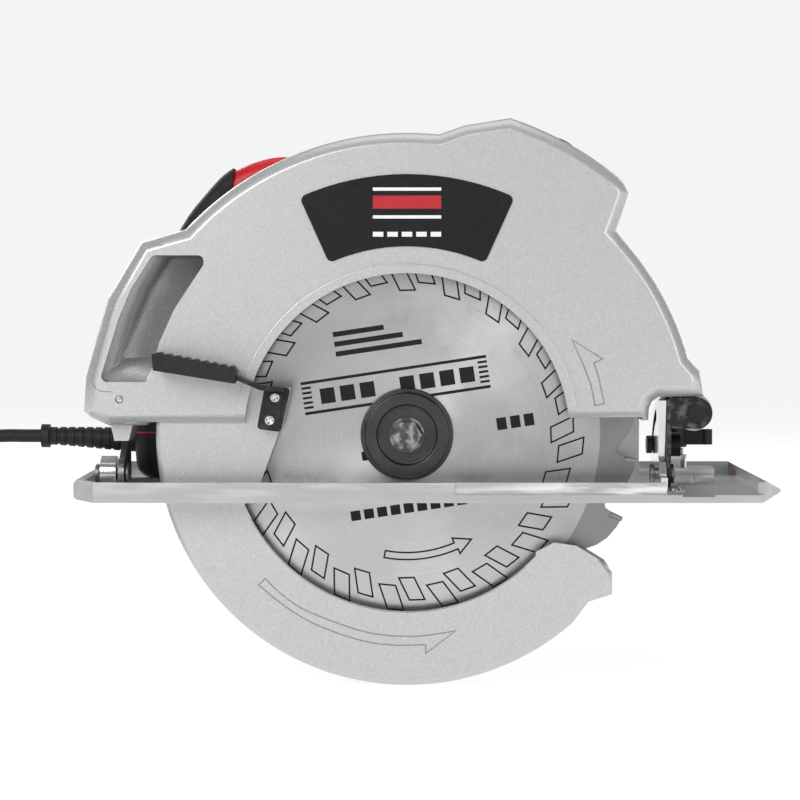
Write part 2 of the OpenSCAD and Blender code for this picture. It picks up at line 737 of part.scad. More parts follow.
// Side view of the rear handle, with its finger gap
module handle_outline() difference() {
    polygon([[12, 76], [0, 84], [-20, 98], [-36, 124], [-48, 138], [-59, 143], [-76, 141], [-92, 134],
             [-104, 122], [-116, 106], [-128, 80], [-137, 50], [-143, 15], [-143, -20], [-139, -25],
             [-128, -26], [-112, -22], [-95, -12], [-75, -4], [-46.2, -4], [-46.2, 28], [0, 60]]);
    polygon([[-52, 100], [-66, 108], [-84, 103], [-96, 88], [-106, 62], [-111, 32], [-112, 16],
             [-100, 8], [-70, 12], [-58, 30], [-52, 55], [-48, 80]]);
    translate([0, motor_v]) circle(r = motor_r + 1.2);
    for (p = case_ears) translate(p) circle(r = 6.5);
}

module handle_shell(w0, w1, open0, open1) difference() {
    union() {
        difference() {
            slab(w0, w1) handle_outline();
            slab(open0, open1) offset(delta = -shell_t) handle_outline();
        }
        for (p = handle_bosses) rod_at(p, 4.2, w0, w1);
    }
    for (p = handle_bosses) rod_at(p, 1.75 + fix_gap, handle_w0 + 3, handle_w1 + 1);
    for (p = handle_bosses) rod_at(p, 3.3, handle_w1 - 2.5, handle_w1 + 1);
    trigger_slot();
    // cord entry
    translate([-148, handle_mid, -6]) rotate([0, 90, 0]) cylinder(r = 5 + fix_gap, h = 14);
}

module trigger_slot() slab(handle_mid - 7.5, handle_mid + 7.5) polygon([
    [-64.5, 115], [-62, 113], [-62, 104], [-74, 92], [-96, 70], [-106, 84], [-99, 103], [-86, 117]]);

module handle_left_shell() color("crimson") at_axis() difference() {
    handle_shell(handle_w0, handle_mid, handle_w0 + shell_t, handle_mid + 1);
    rod_at(lock_off_at, 5 + run_gap, handle_w0 - 1, handle_w0 + shell_t + 1);
}

module handle_right_shell() color("crimson") at_axis()
    handle_shell(handle_mid, handle_w1, handle_mid - 1, handle_w1 - shell_t);

// Soft sleeve round the rear of the handle
module grip_zone()
    polygon([[-90, 150], [-91, 128], [-101, 103], [-99, 86], [-90, 60], [-95, 10], [-160, 10], [-160, 150]]);

module handle_grip() color("black") at_axis() difference() {
    slab(handle_w0 - grip_t, handle_w1 + grip_t) intersection() {
        offset(delta = grip_t) handle_outline();
        grip_zone();
    }
    slab(handle_w0 - 0.02, handle_w1 + 0.02) offset(delta = 0.02) handle_outline();
    trigger_slot();
}

module handle_screws() color("gray") at_axis() for (p = handle_bosses) {
    rod_at(p, 1.75, handle_w0 + 4, handle_w1 - 2.5);
    rod_at(p, 3.2, handle_w1 - 2.5, handle_w1 - 0.6);
}

module switch_module() color("darkslategray") at_axis() slab(handle_mid - 9, handle_mid + 9)
    polygon([[-60, 138], [-62, 118], [-86, 119], [-89, 129], [-76, 137]]);

module trigger() color("black") at_axis() difference() {
    slab(handle_mid - 7, handle_mid + 7) polygon([[-66, 113.5], [-63, 109], [-66, 103], [-74, 96], [-86, 85],
        [-95, 77], [-99, 82], [-93, 100], [-80, 111.5]]);
    rod_at(trigger_pivot, 1.5, handle_mid - 8, handle_mid + 8);
}

module lock_off_button() color("black") at_axis() rod_at(lock_off_at, 5, handle_w0 - 4, handle_w0 + 3);

module front_handle() color("black") at_axis() difference() {
    union() {
        rod_at(front_bar, 20, guard_w1, 25);
        rod_at(front_bar, front_bar_r, 25, 106);
        slab(102, 118) hull() {
            translate(front_bar) circle(r = front_bar_r + 1);
            translate(front_foot) circle(r = 11);
        }
    }
    rod_at([0, motor_v], motor_r + 0.2, 100, 120);
    rod_at(front_bar, 3 + fix_gap, guard_w1 - 1, 40);
}

module depth_lock_bolt() color("gray") at_axis() {
    p = [depth_u - depth_r, depth_v];
    rod_at(p, 6, 14.4, guard_w1 - wall);
    rod_at(p, 3, guard_w1 - wall, 37);
    // front handle bolt shares the same size
    rod_at(front_bar, 6, 14.4, guard_w1 - wall);
    rod_at(front_bar, 3, guard_w1 - wall, 38);
}

module depth_lock_lever() color("black") at_axis() difference() {
    union() {
        rod_at([depth_u - depth_r, depth_v], 9, 27, 36);
        translate([depth_u - depth_r, 0, depth_v])
            rotate([0, 15, 0]) translate([-46, 29, -4.5]) cube([42, 5, 9]);
    }
    rod_at([depth_u - depth_r, depth_v], 3 + run_gap, 26, 37.5);
}

module spindle_lock_button() color("black") at_axis() translate([0, 30, 0]) rotate([0, 90, 0]) {
    translate([0, 0, 28.8]) cylinder(r = 3, h = 9);
    translate([0, 0, 37.5]) cylinder(r = 6, h = 6);
}

// ---- cord ----

run_points = [[-204, 12.5, 28], [-214, 12.5, 28], [-224, 12.5, 28], [-236, 12.5, 27], [-247, 12.5, 22],
              [-256, 12.5, 13], [-261, 12.5, 1], [-262, 12.5, -12], [-262, 12.5, -30], [-262, 12.5, -48],
              [-264, 12.5, -57], [-270, 12.5, -67], [-279, 12.5, -74], [-292, 12.5, -76.8]];

tail_points = [[-337.5, -33, -90.8], [-337.5, -42, -90.6], [-337.5, -52, -88.5], [-337.5, -60, -85.5],
               [-337.5, -66, -84.8]];

function unit(v) = v / norm(v);

function dir_at(pts, i) = unit(pts[min(i + 1, len(pts) - 1)] - pts[max(i - 1, 0)]);

function cross3(a, b) = [a[1] * b[2] - a[2] * b[1], a[2] * b[0] - a[0] * b[2], a[0] * b[1] - a[1] * b[0]];

// A tube of round section swept along points; side is a direction that is never along the route
module tube(pts, r, side, sides = 10) {
    rings = [for (i = [0:len(pts) - 1])
        let (d = dir_at(pts, i), a = unit(cross3(d, side)), b = cross3(d, a))
        for (k = [0:sides - 1]) pts[i] + r * (cos(360 * k / sides) * a + sin(360 * k / sides) * b)];
    last = (len(pts) - 1) * sides;
    polyhedron(rings, concat(
        [[for (k = [sides - 1:-1:0]) k]],
        [for (i = [0:len(pts) - 2]) for (k = [0:sides - 1]) let (n = (k + 1) % sides)
            each [[i * sides + k, i * sides + n, (i + 1) * sides + n],
                  [i * sides + k, (i + 1) * sides + n, (i + 1) * sides + k]]],
        [[for (k = [0:sides - 1]) last + k]]), convexity = 6);
}

module cord_run() color("black") {
    tube(run_points, cord_r, [0, 1, 0]);
    tube(tail_points, cord_r, [1, 0, 0]);
}

module cord_guard() color("black") {
    translate([blade_x - 147, cord_y, 26]) rotate([0, 90, 0]) cylinder(r = 5, h = 9);
    hull() {
        translate([blade_x - 143.5, cord_y, 26]) rotate([0, -90, 0]) cylinder(r = 6.6, h = 1, $fn = 24);
        translate([-198, cord_y, 28]) rotate([0, -90, 0]) cylinder(r = 4.7, h = 0.5, $fn = 24);
    }
    translate([-199, cord_y, 28]) rotate([0, -90, 0]) cylinder(r = 6.2, h = 5);
}

module cord_coil() color("black") translate([coil_at[0], coil_at[1], floor_z]) rotate_extrude()
    translate([coil_r - coil_half, 0]) square([2 * coil_half, 2 * coil_half]);

module cord_tie() color("black") translate([coil_at[0], coil_at[1], floor_z]) rotate(-45)
    translate([coil_r, 6, coil_half]) rotate([90, 0, 0]) linear_extrude(12) difference() {
        translate([-coil_half - 1.4, -coil_half]) square([2 * coil_half + 2.8, 2 * coil_half + 1.4]);
        translate([-coil_half - 0.02, -coil_half + 1.2]) square([2 * coil_half + 0.04, 2 * coil_half - 1.18]);
    }

module plug_body() color("black") translate([plug_at[0], plug_at[1], floor_z]) {
    translate([0, 0, plug_h / 2]) rotate([90, 0, 0]) cylinder(r1 = 4.6, r2 = 6.5, h = 12);
    translate([0, -12, 0]) linear_extrude(plug_h) polygon([[-7, 0], [7, 0], [16, -9], [18, -14], [18, -32],
        [16, -34], [-16, -34], [-18, -32], [-18, -14], [-16, -9]]);
}

module plug_pins() color("silver") for (s = [-1, 1])
    translate([plug_at[0] + 9.5 * s, plug_at[1] - 46, floor_z + plug_h / 2]) rotate([90, 0, 0])
        cylinder(r = 2.4, h = 19);

base_plate();
bevel_quadrant();
bracket_rivets();
rear_bevel_ear();
bevel_pivot_pins();
fence_clamp_bridge();
fence_clamp_spring();
fence_clamp_knob();
front_tilt_bracket();
rear_tilt_bracket();
depth_arc();
depth_pivot_pin();
bevel_lock_lever();
upper_guard();
label_plate();
gear_case();
gear_case_cover();
gear_case_screws();
motor_housing();
motor_end_cap();
end_cap_screws();
stator();
brush_holders();
carbon_brushes();
brush_caps();
spindle_bearings();
armature_bearings();
handle_left_shell();
handle_right_shell();
handle_grip();
handle_screws();
switch_module();
front_handle();
depth_lock_bolt();
guard_spring();
guard_retaining_ring();
trigger();
lock_off_button();
depth_lock_lever();
spindle_lock_button();
saw_blade();
carbide_teeth();
inner_flange();
outer_flange();
blade_bolt();
spindle();
spindle_gear();
armature();
cooling_fan();
pinion();
lower_guard();
guard_lever_bracket();
bracket_screws();
guard_lever_grip();
cord_guard();
cord_run();
cord_coil();
cord_tie();
plug_body();
plug_pins();
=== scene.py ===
import json
import math
import bmesh
import bpy
from mathutils import Matrix, Vector, bvhtree


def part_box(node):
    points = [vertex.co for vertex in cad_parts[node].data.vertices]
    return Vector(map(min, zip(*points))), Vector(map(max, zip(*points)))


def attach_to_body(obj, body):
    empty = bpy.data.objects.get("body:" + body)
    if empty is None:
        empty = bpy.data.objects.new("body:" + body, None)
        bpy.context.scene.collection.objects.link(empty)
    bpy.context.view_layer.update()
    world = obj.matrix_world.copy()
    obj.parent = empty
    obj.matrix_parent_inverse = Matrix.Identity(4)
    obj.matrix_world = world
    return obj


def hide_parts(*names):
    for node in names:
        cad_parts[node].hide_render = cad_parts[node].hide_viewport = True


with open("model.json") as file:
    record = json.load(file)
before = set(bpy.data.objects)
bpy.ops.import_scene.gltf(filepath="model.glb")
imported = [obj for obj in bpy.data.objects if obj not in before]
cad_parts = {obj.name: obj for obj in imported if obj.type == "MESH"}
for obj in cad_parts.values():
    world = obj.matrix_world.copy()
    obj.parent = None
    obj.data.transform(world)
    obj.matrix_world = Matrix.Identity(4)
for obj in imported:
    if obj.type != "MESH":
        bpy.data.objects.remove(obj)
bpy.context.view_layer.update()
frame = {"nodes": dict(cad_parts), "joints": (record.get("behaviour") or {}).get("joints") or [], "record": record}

MM = 0.001
JOINTS = {j["name"]: j for j in frame["joints"]}
AXIS = Vector(JOINTS["blade_spin"]["pos_m"])
GUARD_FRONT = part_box("label_plate")[1][1] / MM - AXIS.y / MM
BLADE_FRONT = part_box("saw_blade")[0][1] / MM - AXIS.y / MM
FLOOR_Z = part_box("cord_coil")[0][2]
BODY_OF = {n: b for b, nodes in frame["record"]["behaviour"]["bodies"].items() for n in nodes}
CORD_D = 7 * MM


# ---- camera, light and floor ----

def add_camera():
    data = bpy.data.cameras.new("camera")
    data.lens = 107.2
    data.sensor_width = 36
    data.clip_end = 20
    cam = bpy.data.objects.new("camera", data)
    cam.location = AXIS + Vector((-0.5, -1207, 70.5)) * MM
    cam.rotation_euler = (math.radians(90 - 2.52), 0, math.radians(0.144))
    bpy.context.scene.collection.objects.link(cam)
    bpy.context.scene.camera = cam


def add_area(name, place, target, size, power):
    data = bpy.data.lights.new(name, "AREA")
    data.shape = "RECTANGLE"
    data.size, data.size_y = size
    data.energy = power
    light = bpy.data.objects.new(name, data)
    light.location = place
    light.rotation_euler = (Vector(target) - Vector(place)).to_track_quat("-Z", "Y").to_euler()
    bpy.context.scene.collection.objects.link(light)


def add_studio():
    middle = (0, 0, 0.05)
    add_area("key", (-1.0, -1.7, 1.0), middle, (1.3, 1.1), 24)
    add_area("fill", (1.3, -1.5, 0.5), middle, (0.9, 1.3), 9)
    add_area("top", (0.1, 0.3, 1.9), middle, (1.6, 1.2), 7)
    add_area("back_left", (-1.1, 1.6, 0.9), middle, (1.2, 1.0), 16)
    add_area("back_right", (1.2, 1.4, 0.6), middle, (0.8, 1.1), 8)
    world = bpy.data.worlds.new("studio")
    world.use_nodes = True
    tree = world.node_tree
    dim = tree.nodes["Background"]
    dim.inputs["Color"].default_value = (0.93, 0.94, 0.95, 1)
    dim.inputs["Strength"].default_value = 0.3
    seen = tree.nodes.new("ShaderNodeBackground")
    seen.inputs["Color"].default_value = (0.9, 0.905, 0.91, 1)
    path = tree.nodes.new("ShaderNodeLightPath")
    choose = tree.nodes.new("ShaderNodeMixShader")
    tree.links.new(path.outputs["Is Camera Ray"], choose.inputs[0])
    tree.links.new(dim.outputs[0], choose.inputs[1])
    tree.links.new(seen.outputs[0], choose.inputs[2])
    tree.links.new(choose.outputs[0], tree.nodes["World Output"].inputs["Surface"])
    bpy.context.scene.world = world
    bpy.context.scene.view_settings.view_transform = "Standard"
    bm = bmesh.new()
    bmesh.ops.create_grid(bm, x_segments=1, y_segments=1, size=40)
    floor = new_object("floor", bm)
    floor.location.z = FLOOR_Z
    paper = surface("floor_paper", (0.25, 0.25, 0.25), 0.9, vary=0.01, scale=8, bump=0.01, specular=0.0)
    shader = paper.node_tree.nodes["Principled BSDF"]
    shader.inputs["Emission Color"].default_value = (0.9, 0.905, 0.91, 1)
    shader.inputs["Emission Strength"].default_value = 0.92
    floor.data.materials.append(paper)


# ---- materials ----

def surface(name, colour, roughness, metallic=0.0, vary=0.05, scale=60, grain=1500, bump=0.04,
            rough_vary=0.06, stretch=(1, 1, 1), coat=0.0, wear=None, specks=None, sheen=0.0, brush=None,
            depth=0.0002, specular=0.5):
    """A painted, cast, moulded or brushed surface: cloudy colour, fine grain bump, uneven gloss, worn edges."""
    mat = bpy.data.materials.new(name)
    mat.use_nodes = True
    tree = mat.node_tree
    shader = tree.nodes["Principled BSDF"]
    shader.inputs["Metallic"].default_value = metallic
    shader.inputs["Coat Weight"].default_value = coat
    shader.inputs["Coat Roughness"].default_value = 0.12
    shader.inputs["Sheen Weight"].default_value = sheen
    shader.inputs["Specular IOR Level"].default_value = specular

    def node(kind, **values):
        made = tree.nodes.new(kind)
        for key, value in values.items():
            setattr(made, key, value)
        return made

    coords = node("ShaderNodeTexCoord")
    mapping = node("ShaderNodeMapping")
    mapping.inputs["Scale"].default_value = stretch
    tree.links.new(coords.outputs["Object"], mapping.inputs["Vector"])

    def cloud(size, detail=3.0):
        made = node("ShaderNodeTexNoise")
        made.inputs["Scale"].default_value = size
        made.inputs["Detail"].default_value = detail
        tree.links.new(mapping.outputs["Vector"], made.inputs["Vector"])
        return made.outputs["Fac"]

    def blend_colour(factor, first, second):
        mix = node("ShaderNodeMix", data_type="RGBA")
        for key, value in ((0, factor), (6, first), (7, second)):
            if isinstance(value, (tuple, list)):
                mix.inputs[key].default_value = tuple(value) + (1,)
            else:
                tree.links.new(value, mix.inputs[key])
        return mix.outputs[2]

    def steps(value, low, high, out_low=0.0, out_high=1.0):
        made = node("ShaderNodeMapRange")
        made.inputs["From Min"].default_value = low
        made.inputs["From Max"].default_value = high
        made.inputs["To Min"].default_value = out_low
        made.inputs["To Max"].default_value = out_high
        tree.links.new(value, made.inputs["Value"])
        return made.outputs["Result"]

    dark = tuple(max(0, c * (1 - vary)) for c in colour)
    light = tuple(min(1, c * (1 + vary)) for c in colour)
    base = blend_colour(steps(cloud(scale), 0.35, 0.65), dark, light)
    if specks:
        base = blend_colour(steps(cloud(specks[0], 1.0), specks[1], specks[1] + 0.05), base, specks[2])
    fine = cloud(grain)
    if brush:
        fine = brushed_pattern(tree, node, coords, brush)
        base = blend_colour(steps(fine, 0.3, 0.7, 0.0, 0.35), base, tuple(c * 0.8 for c in colour))
    if wear:
        edge = steps(node("ShaderNodeNewGeometry").outputs["Pointiness"], 0.53, 0.6)
        amount = node("ShaderNodeMath", operation="MULTIPLY")
        tree.links.new(edge, amount.inputs[0])
        tree.links.new(steps(cloud(220), 0.45, 0.6), amount.inputs[1])
        base = blend_colour(amount.outputs[0], base, wear)
    tree.links.new(base, shader.inputs["Base Color"])
    rough = steps(cloud(scale * 2.3), 0.3, 0.7, max(0.02, roughness - rough_vary), min(1, roughness + rough_vary))
    tree.links.new(rough, shader.inputs["Roughness"])
    relief = node("ShaderNodeBump")
    relief.inputs["Strength"].default_value = min(1.0, bump * 4)
    relief.inputs["Distance"].default_value = depth
    tree.links.new(fine, relief.inputs["Height"])
    tree.links.new(relief.outputs["Normal"], shader.inputs["Normal"])
    return mat


def brushed_pattern(tree, node, coords, centre):
    """Fine rings about an axis along Y, as a turned or brushed disc has."""
    offset = node("ShaderNodeVectorMath", operation="SUBTRACT")
    tree.links.new(coords.outputs["Object"], offset.inputs[0])
    offset.inputs[1].default_value = centre
    flat = node("ShaderNodeVectorMath", operation="MULTIPLY")
    flat.inputs[1].default_value = (1, 0, 1)
    tree.links.new(offset.outputs[0], flat.inputs[0])
    radius = node("ShaderNodeVectorMath", operation="LENGTH")
    tree.links.new(flat.outputs[0], radius.inputs[0])
    rings = node("ShaderNodeTexNoise", noise_dimensions="1D")
    rings.inputs["Scale"].default_value = 1000
    rings.inputs["Detail"].default_value = 2
    tree.links.new(radius.outputs["Value"], rings.inputs["W"])
    return rings.outputs["Fac"]


# ---- mesh helpers ----

def new_object(name, bm):
    mesh = bpy.data.meshes.new(name)
    bm.to_mesh(mesh)
    bm.free()
    obj = bpy.data.objects.new(name, mesh)
    bpy.context.scene.collection.objects.link(obj)
    return obj


def smooth(obj, angle=35):
    obj.data.shade_smooth()
    obj.data.set_sharp_from_angle(angle=math.radians(angle))
    return obj


def attach(obj, material, node):
    """Puts a small extra piece on the body of a CAD node, in the given material."""
    obj.data.materials.clear()
    obj.data.materials.append(material)
    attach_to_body(obj, BODY_OF[node])
    return obj


def stand_in(obj, material, *nodes):
    """Makes the piece stand for the CAD nodes."""
    attach(obj, material, nodes[0])
    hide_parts(*nodes)
    return obj


def clean_copy(node):
    """The node's mesh without the doubled corners and flat edges of its triangles."""
    bm = bmesh.new()
    bm.from_mesh(frame["nodes"][node].data)
    bmesh.ops.remove_doubles(bm, verts=bm.verts, dist=2e-6)
    bmesh.ops.dissolve_limit(bm, angle_limit=math.radians(0.6), verts=bm.verts, edges=bm.edges)
    return bm


def sharp_edges(bm, angle, test=None):
    limit = math.radians(angle)
    found = [e for e in bm.edges if len(e.link_faces) == 2 and e.calc_face_angle(0) > limit]
    return [e for e in found if test is None or test(e)]


def room_beside(edge):
    """Roughly how wide the narrower face beside an edge is."""
    widths = []
    for face in edge.link_faces:
        area = face.calc_area()
        if len(face.verts) == 3:
            widths.append(2 * area / edge.calc_length())
        elif len(face.verts) == 4:
            widths.append(area / edge.calc_length())
        else:
            widths.append(2 * area / face.calc_perimeter())
    return min(widths)


def soften(bm, edges, width, segments=2):
    """Rounds the edges that have room for it, then the rest by a third, and keeps only a sound result."""
    wide = [e for e in edges if room_beside(e) > 2.3 * width * MM]
    before = bm.copy()
    bevel(bm, wide, width, segments)
    if not sound(bm, before):
        bm.free()
        bm = before.copy()
    before.free()
    before = bm.copy()
    narrow = [e for e in sharp_edges(bm, 50) if 0.8 * width * MM < room_beside(e) < 2.3 * width * MM]
    bevel(bm, narrow, width / 3, 2)
    if not sound(bm, before):
        bm.free()
        bm = before.copy()
    before.free()
    return bm


def bevel(bm, edges, width, segments):
    bmesh.ops.bevel(bm, geom=edges, offset=width * MM, offset_type="OFFSET", segments=segments,
                    profile=0.5, affect="EDGES", clamp_overlap=True, loop_slide=False)


def sound(bm, before):
    """False if rounding has turned a face over or pushed it off the surface it came from."""
    old = bvhtree.BVHTree.FromBMesh(before)
    for a, b, c in (tuple(loop.vert.co for loop in three) for three in bm.calc_loop_triangles()):
        normal = (b - a).cross(c - a)
        if normal.length < 2e-9:
            continue
        middle = (a + b + c) / 3
        _, facing, _, distance = old.find_nearest(middle)
        if distance > 3 * MM or normal.normalized().dot(facing) < -0.1:
            return False
    return True


def evaluated(obj):
    """The object's mesh with its modifiers applied."""
    bpy.context.view_layer.update()
    return bpy.data.meshes.new_from_object(obj.evaluated_get(bpy.context.evaluated_depsgraph_get()))


def rounded(node, width=0.6, segments=2, angle=30, test=None):
    bm = clean_copy(node)
    bm = soften(bm, sharp_edges(bm, angle, test), width, segments)
    return weighted(new_object(node + "_piece", bm))


def weighted(obj, angle=35):
    smooth(obj, angle)
    obj.modifiers.new("normals", "WEIGHTED_NORMAL").keep_sharp = True
    return obj


def local(u, w, v):
    """A point given about the blade axis, in millimetres, as a place in the frame."""
    return AXIS + Vector((u, w, v)) * MM


def flat_shape(name, outlines, w_back, w_front, edge=0.0, grow=0.0):
    """Outlines in u and v, grown outwards, filled and given a thickness from w_back to w_front."""
    curve = bpy.data.curves.new(name, "CURVE")
    curve.dimensions = "2D"
    curve.fill_mode = "BOTH"
    curve.extrude = (abs(w_back - w_front) / 2 - edge) * MM
    curve.bevel_depth = edge * MM
    curve.bevel_resolution = 3
    curve.offset = (grow - edge) * MM
    for points in outlines:
        line = curve.splines.new("POLY")
        line.points.add(len(points) - 1)
        for p, (u, v) in zip(line.points, points):
            p.co = (u * MM, v * MM, 0, 1)
        line.use_cyclic_u = True
    holder = bpy.data.objects.new(name, curve)
    mesh = bpy.data.meshes.new_from_object(holder)
    bpy.data.objects.remove(holder)
    middle = (w_back + w_front) / 2
    place = Matrix.Translation(local(0, middle, 0)) @ Matrix.Rotation(math.radians(90), 4, "X")
    mesh.transform(place)
    obj = bpy.data.objects.new(name, mesh)
    bpy.context.scene.collection.objects.link(obj)
    bm = bmesh.new()
    bm.from_mesh(mesh)
    bmesh.ops.remove_doubles(bm, verts=bm.verts, dist=1e-6)
    bm.to_mesh(mesh)
    bm.free()
    return smooth(obj)


def polar(r, a):
    return (r * math.cos(math.radians(a)), r * math.sin(math.radians(a)))


def arc(r, a0, a1, count):
    return [polar(r, a0 + (a1 - a0) * i / count) for i in range(count + 1)]


def ribbon(points, width, closed=True):
    """The outlines of a line of even width drawn along points."""
    pts = [Vector(p) for p in points]
    count = len(pts)
    left, right = [], []
    for i, p in enumerate(pts):
        before = pts[i - 1] if closed or i else p
        after = pts[(i + 1) % count] if closed or i < count - 1 else p
        a = (p - before).normalized() if (p - before).length else (after - p).normalized()
        b = (after - p).normalized() if (after - p).length else a
        side = Vector((-(a + b).y, (a + b).x)).normalized()
        reach = width / 2 / max(0.4, side.dot(Vector((-a.y, a.x))))
        left.append(tuple(p + side * reach))
        right.append(tuple(p - side * reach))
    return [left, right] if closed else [left + right[::-1]]


def spline_through(points, per_span=6):
    """Points on a smooth closed line through the given ones."""
    out = []
    count = len(points)
    for i in range(count):
        p0, p1, p2, p3 = (Vector(points[(i + k) % count]) for k in (-1, 0, 1, 2))
        for s in range(per_span):
            t = s / per_span
            out.append(tuple(0.5 * (2 * p1 + (p2 - p0) * t + (2 * p0 - 5 * p1 + 4 * p2 - p3) * t * t
                                    + (3 * p1 - p0 - 3 * p2 + p3) * t ** 3)))
    return out


def spline_open(points):
    """Points on a smooth open line through the given ones."""
    return [tuple(p) for p in smooth_line(points)]


def lathe(name, profile, centre, along, count=64):
    """A turned piece: profile is (distance along, radius) in millimetres."""
    turn = Vector((0, 0, 1)).rotation_difference(Vector(along)).to_matrix().to_4x4()
    bm = bmesh.new()
    rings = []
    for d, r in profile:
        rings.append([bm.verts.new(turn @ Vector((r * MM * math.cos(2 * math.pi * k / count),
                                                  r * MM * math.sin(2 * math.pi * k / count), d * MM)))
                      for k in range(count)])
    for one, two in zip(rings, rings[1:]):
        for k in range(count):
            n = (k + 1) % count
            bm.faces.new((one[k], one[n], two[n], two[k]))
    bm.faces.new(rings[0][::-1])
    bm.faces.new(rings[-1])
    bmesh.ops.translate(bm, verts=bm.verts, vec=Vector(centre))
    bmesh.ops.recalc_face_normals(bm, faces=bm.faces)
    return smooth(new_object(name, bm))


def tube_mesh(name, points, radius, sides=16):
    """A round tube swept along points, with closed ends."""
    pts = [Vector(p) for p in points]
    bm = bmesh.new()
    rings = []
    tangent = (pts[1] - pts[0]).normalized()
    across = tangent.orthogonal().normalized()
    for i, p in enumerate(pts):
        ahead = (pts[min(i + 1, len(pts) - 1)] - pts[max(i - 1, 0)]).normalized()
        across = (across - ahead * across.dot(ahead)).normalized()
        up = ahead.cross(across)
        rings.append([bm.verts.new(p + radius * (across * math.cos(2 * math.pi * k / sides)
                                                 + up * math.sin(2 * math.pi * k / sides))) for k in range(sides)])
    for one, two in zip(rings, rings[1:]):
        for k in range(sides):
            n = (k + 1) % sides
            bm.faces.new((one[k], one[n], two[n], two[k]))
    bm.faces.new(rings[0][::-1])
    bm.faces.new(rings[-1])
    bmesh.ops.recalc_face_normals(bm, faces=bm.faces)
    return smooth(new_object(name, bm), 60)


# ---- cord ----

RUN = [(-204, 12.5, 28), (-214, 12.5, 28), (-224, 12.5, 28), (-236, 12.5, 27), (-247, 12.5, 22),
       (-256, 12.5, 13), (-261, 12.5, 1), (-262, 12.5, -12), (-262, 12.5, -30), (-262, 12.5, -48),
       (-264, 12.5, -57), (-270, 12.5, -67), (-279, 12.5, -74), (-292, 12.5, -76.8)]
TAIL = [(-337.5, -33, -90.8), (-337.5, -42, -90.6), (-337.5, -52, -88.5), (-337.5, -60, -85.5),
        (-337.5, -66, -84.8)]
COIL_CENTRE = Vector((-292, -33))
# radius and layer of each turn, from the run to the plug: layer 0 lies on the floor
COIL_TURNS = [(45.5, 2), (45.5, 1), (38.5, 1), (31.5, 1), (31.5, 0), (38.5, 0), (45.5, 0), (45.5, 0)]
STEPS_PER_TURN = 40


def ease(t):
    t = min(1.0, max(0.0, t))
    return t * t * (3 - 2 * t)


def coil_points():
    points = []
    for i in range(int(7.25 * STEPS_PER_TURN) + 1):
        turn = i / STEPS_PER_TURN
        k = int(turn)
        change = ease((turn - k) / 0.25)
        before = COIL_TURNS[max(0, k - 1)]
        r = before[0] + (COIL_TURNS[k][0] - before[0]) * change
        layer = before[1] + (COIL_TURNS[k][1] - before[1]) * change
        a = math.radians(90 + 360 * turn)
        points.append(Vector((COIL_CENTRE.x + r * math.cos(a), COIL_CENTRE.y + r * math.sin(a),
                              FLOOR_Z / MM + 3.5 + 7 * layer)))
    return points


def smooth_line(points, per_span=4):
    """A smooth open line through the points."""
    pts = [Vector(p) for p in points]
    ends = [2 * pts[0] - pts[1]] + pts + [2 * pts[-1] - pts[-2]]
    out = []
    for p0, p1, p2, p3 in zip(ends, ends[1:], ends[2:], ends[3:]):
        for s in range(per_span):
            t = s / per_span
            out.append(0.5 * (2 * p1 + (p2 - p0) * t + (2 * p0 - 5 * p1 + 4 * p2 - p3) * t * t
                              + (3 * p1 - p0 - 3 * p2 + p3) * t ** 3))
    return out + [pts[-1]]


def add_cord():
    rubber = surface("cord_rubber", (0.012, 0.012, 0.013), 0.5, vary=0.25, scale=300, grain=2500, bump=0.05,
                     specular=0.3)
    route = smooth_line(RUN)[:-1] + coil_points() + smooth_line(TAIL)[1:]
    path = [p * MM for p in route]
    cord = tube_mesh("cord", path, CORD_D / 2, 14)
    stand_in(cord, rubber, "cord_run", "cord_coil")
    boot = cord_guard_piece(rubber)
    plug = plug_piece(rubber)
    tie = rounded("cord_tie", 0.4)
    web = surface("tie_web", (0.05, 0.05, 0.055), 0.85, vary=0.3, scale=900, bump=0.15, stretch=(1, 1, 3))
    stand_in(tie, web, "cord_tie")
    pins = rounded("plug_pins", 0.6)
    stand_in(pins, surface("plug_metal", (0.75, 0.72, 0.66), 0.22, 1.0), "plug_pins")


def cord_guard_piece(rubber):
    """Tapered strain relief with a collar and moulded rings."""
    low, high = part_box("cord_guard")
    length = (high[0] - low[0]) / MM
    profile = [(0, 4.2), (0.4, 6.2), (4.6, 6.2), (5, 4.9)]
    taper_start, taper_end = 5.6, length - 8
    rings = 9
    for i in range(rings):
        at = taper_start + (taper_end - taper_start) * i / rings
        pitch = (taper_end - taper_start) / rings
        r = 4.7 + 1.8 * i / rings
        profile += [(at, r), (at + pitch * 0.62, r + 0.1), (at + pitch * 0.68, r - 0.45),
                    (at + pitch * 0.92, r - 0.45)]
    profile += [(taper_end, 6.5), (length - 0.5, 6.6), (length, 6.2)]
    sag = -2.0 * MM
    boot = lathe("strain_relief", profile, (low[0], 0, 0), (1, 0, 0), 40)
    start_z, end_z = RUN[0][2] * MM, (RUN[0][2] + sag / MM) * MM
    for v in boot.data.vertices:
        share = (v.co.x - low[0]) / (high[0] - low[0])
        v.co.y += RUN[0][1] * MM
        v.co.z += start_z + (end_z - start_z) * ease(share)
    return stand_in(boot, rubber, "cord_guard")


def plug_piece(rubber):
    plug = rounded("plug_body", 2.4, 4, 40)
    return stand_in(plug, rubber, "plug_body")


# ---- guards ----

def silver_paint(name, tone=1.0):
    # a tone below 1 gives darker copies of the paint, used as painted shade
    colour = (0.56 * tone, 0.57 * tone, 0.565 * tone)
    return surface(name, colour, 0.36, 0.6, vary=0.05, scale=900, grain=1800, bump=0.06, rough_vary=0.08,
                   specks=(2600, 0.66, (0.82, 0.83, 0.82)), depth=0.00012)


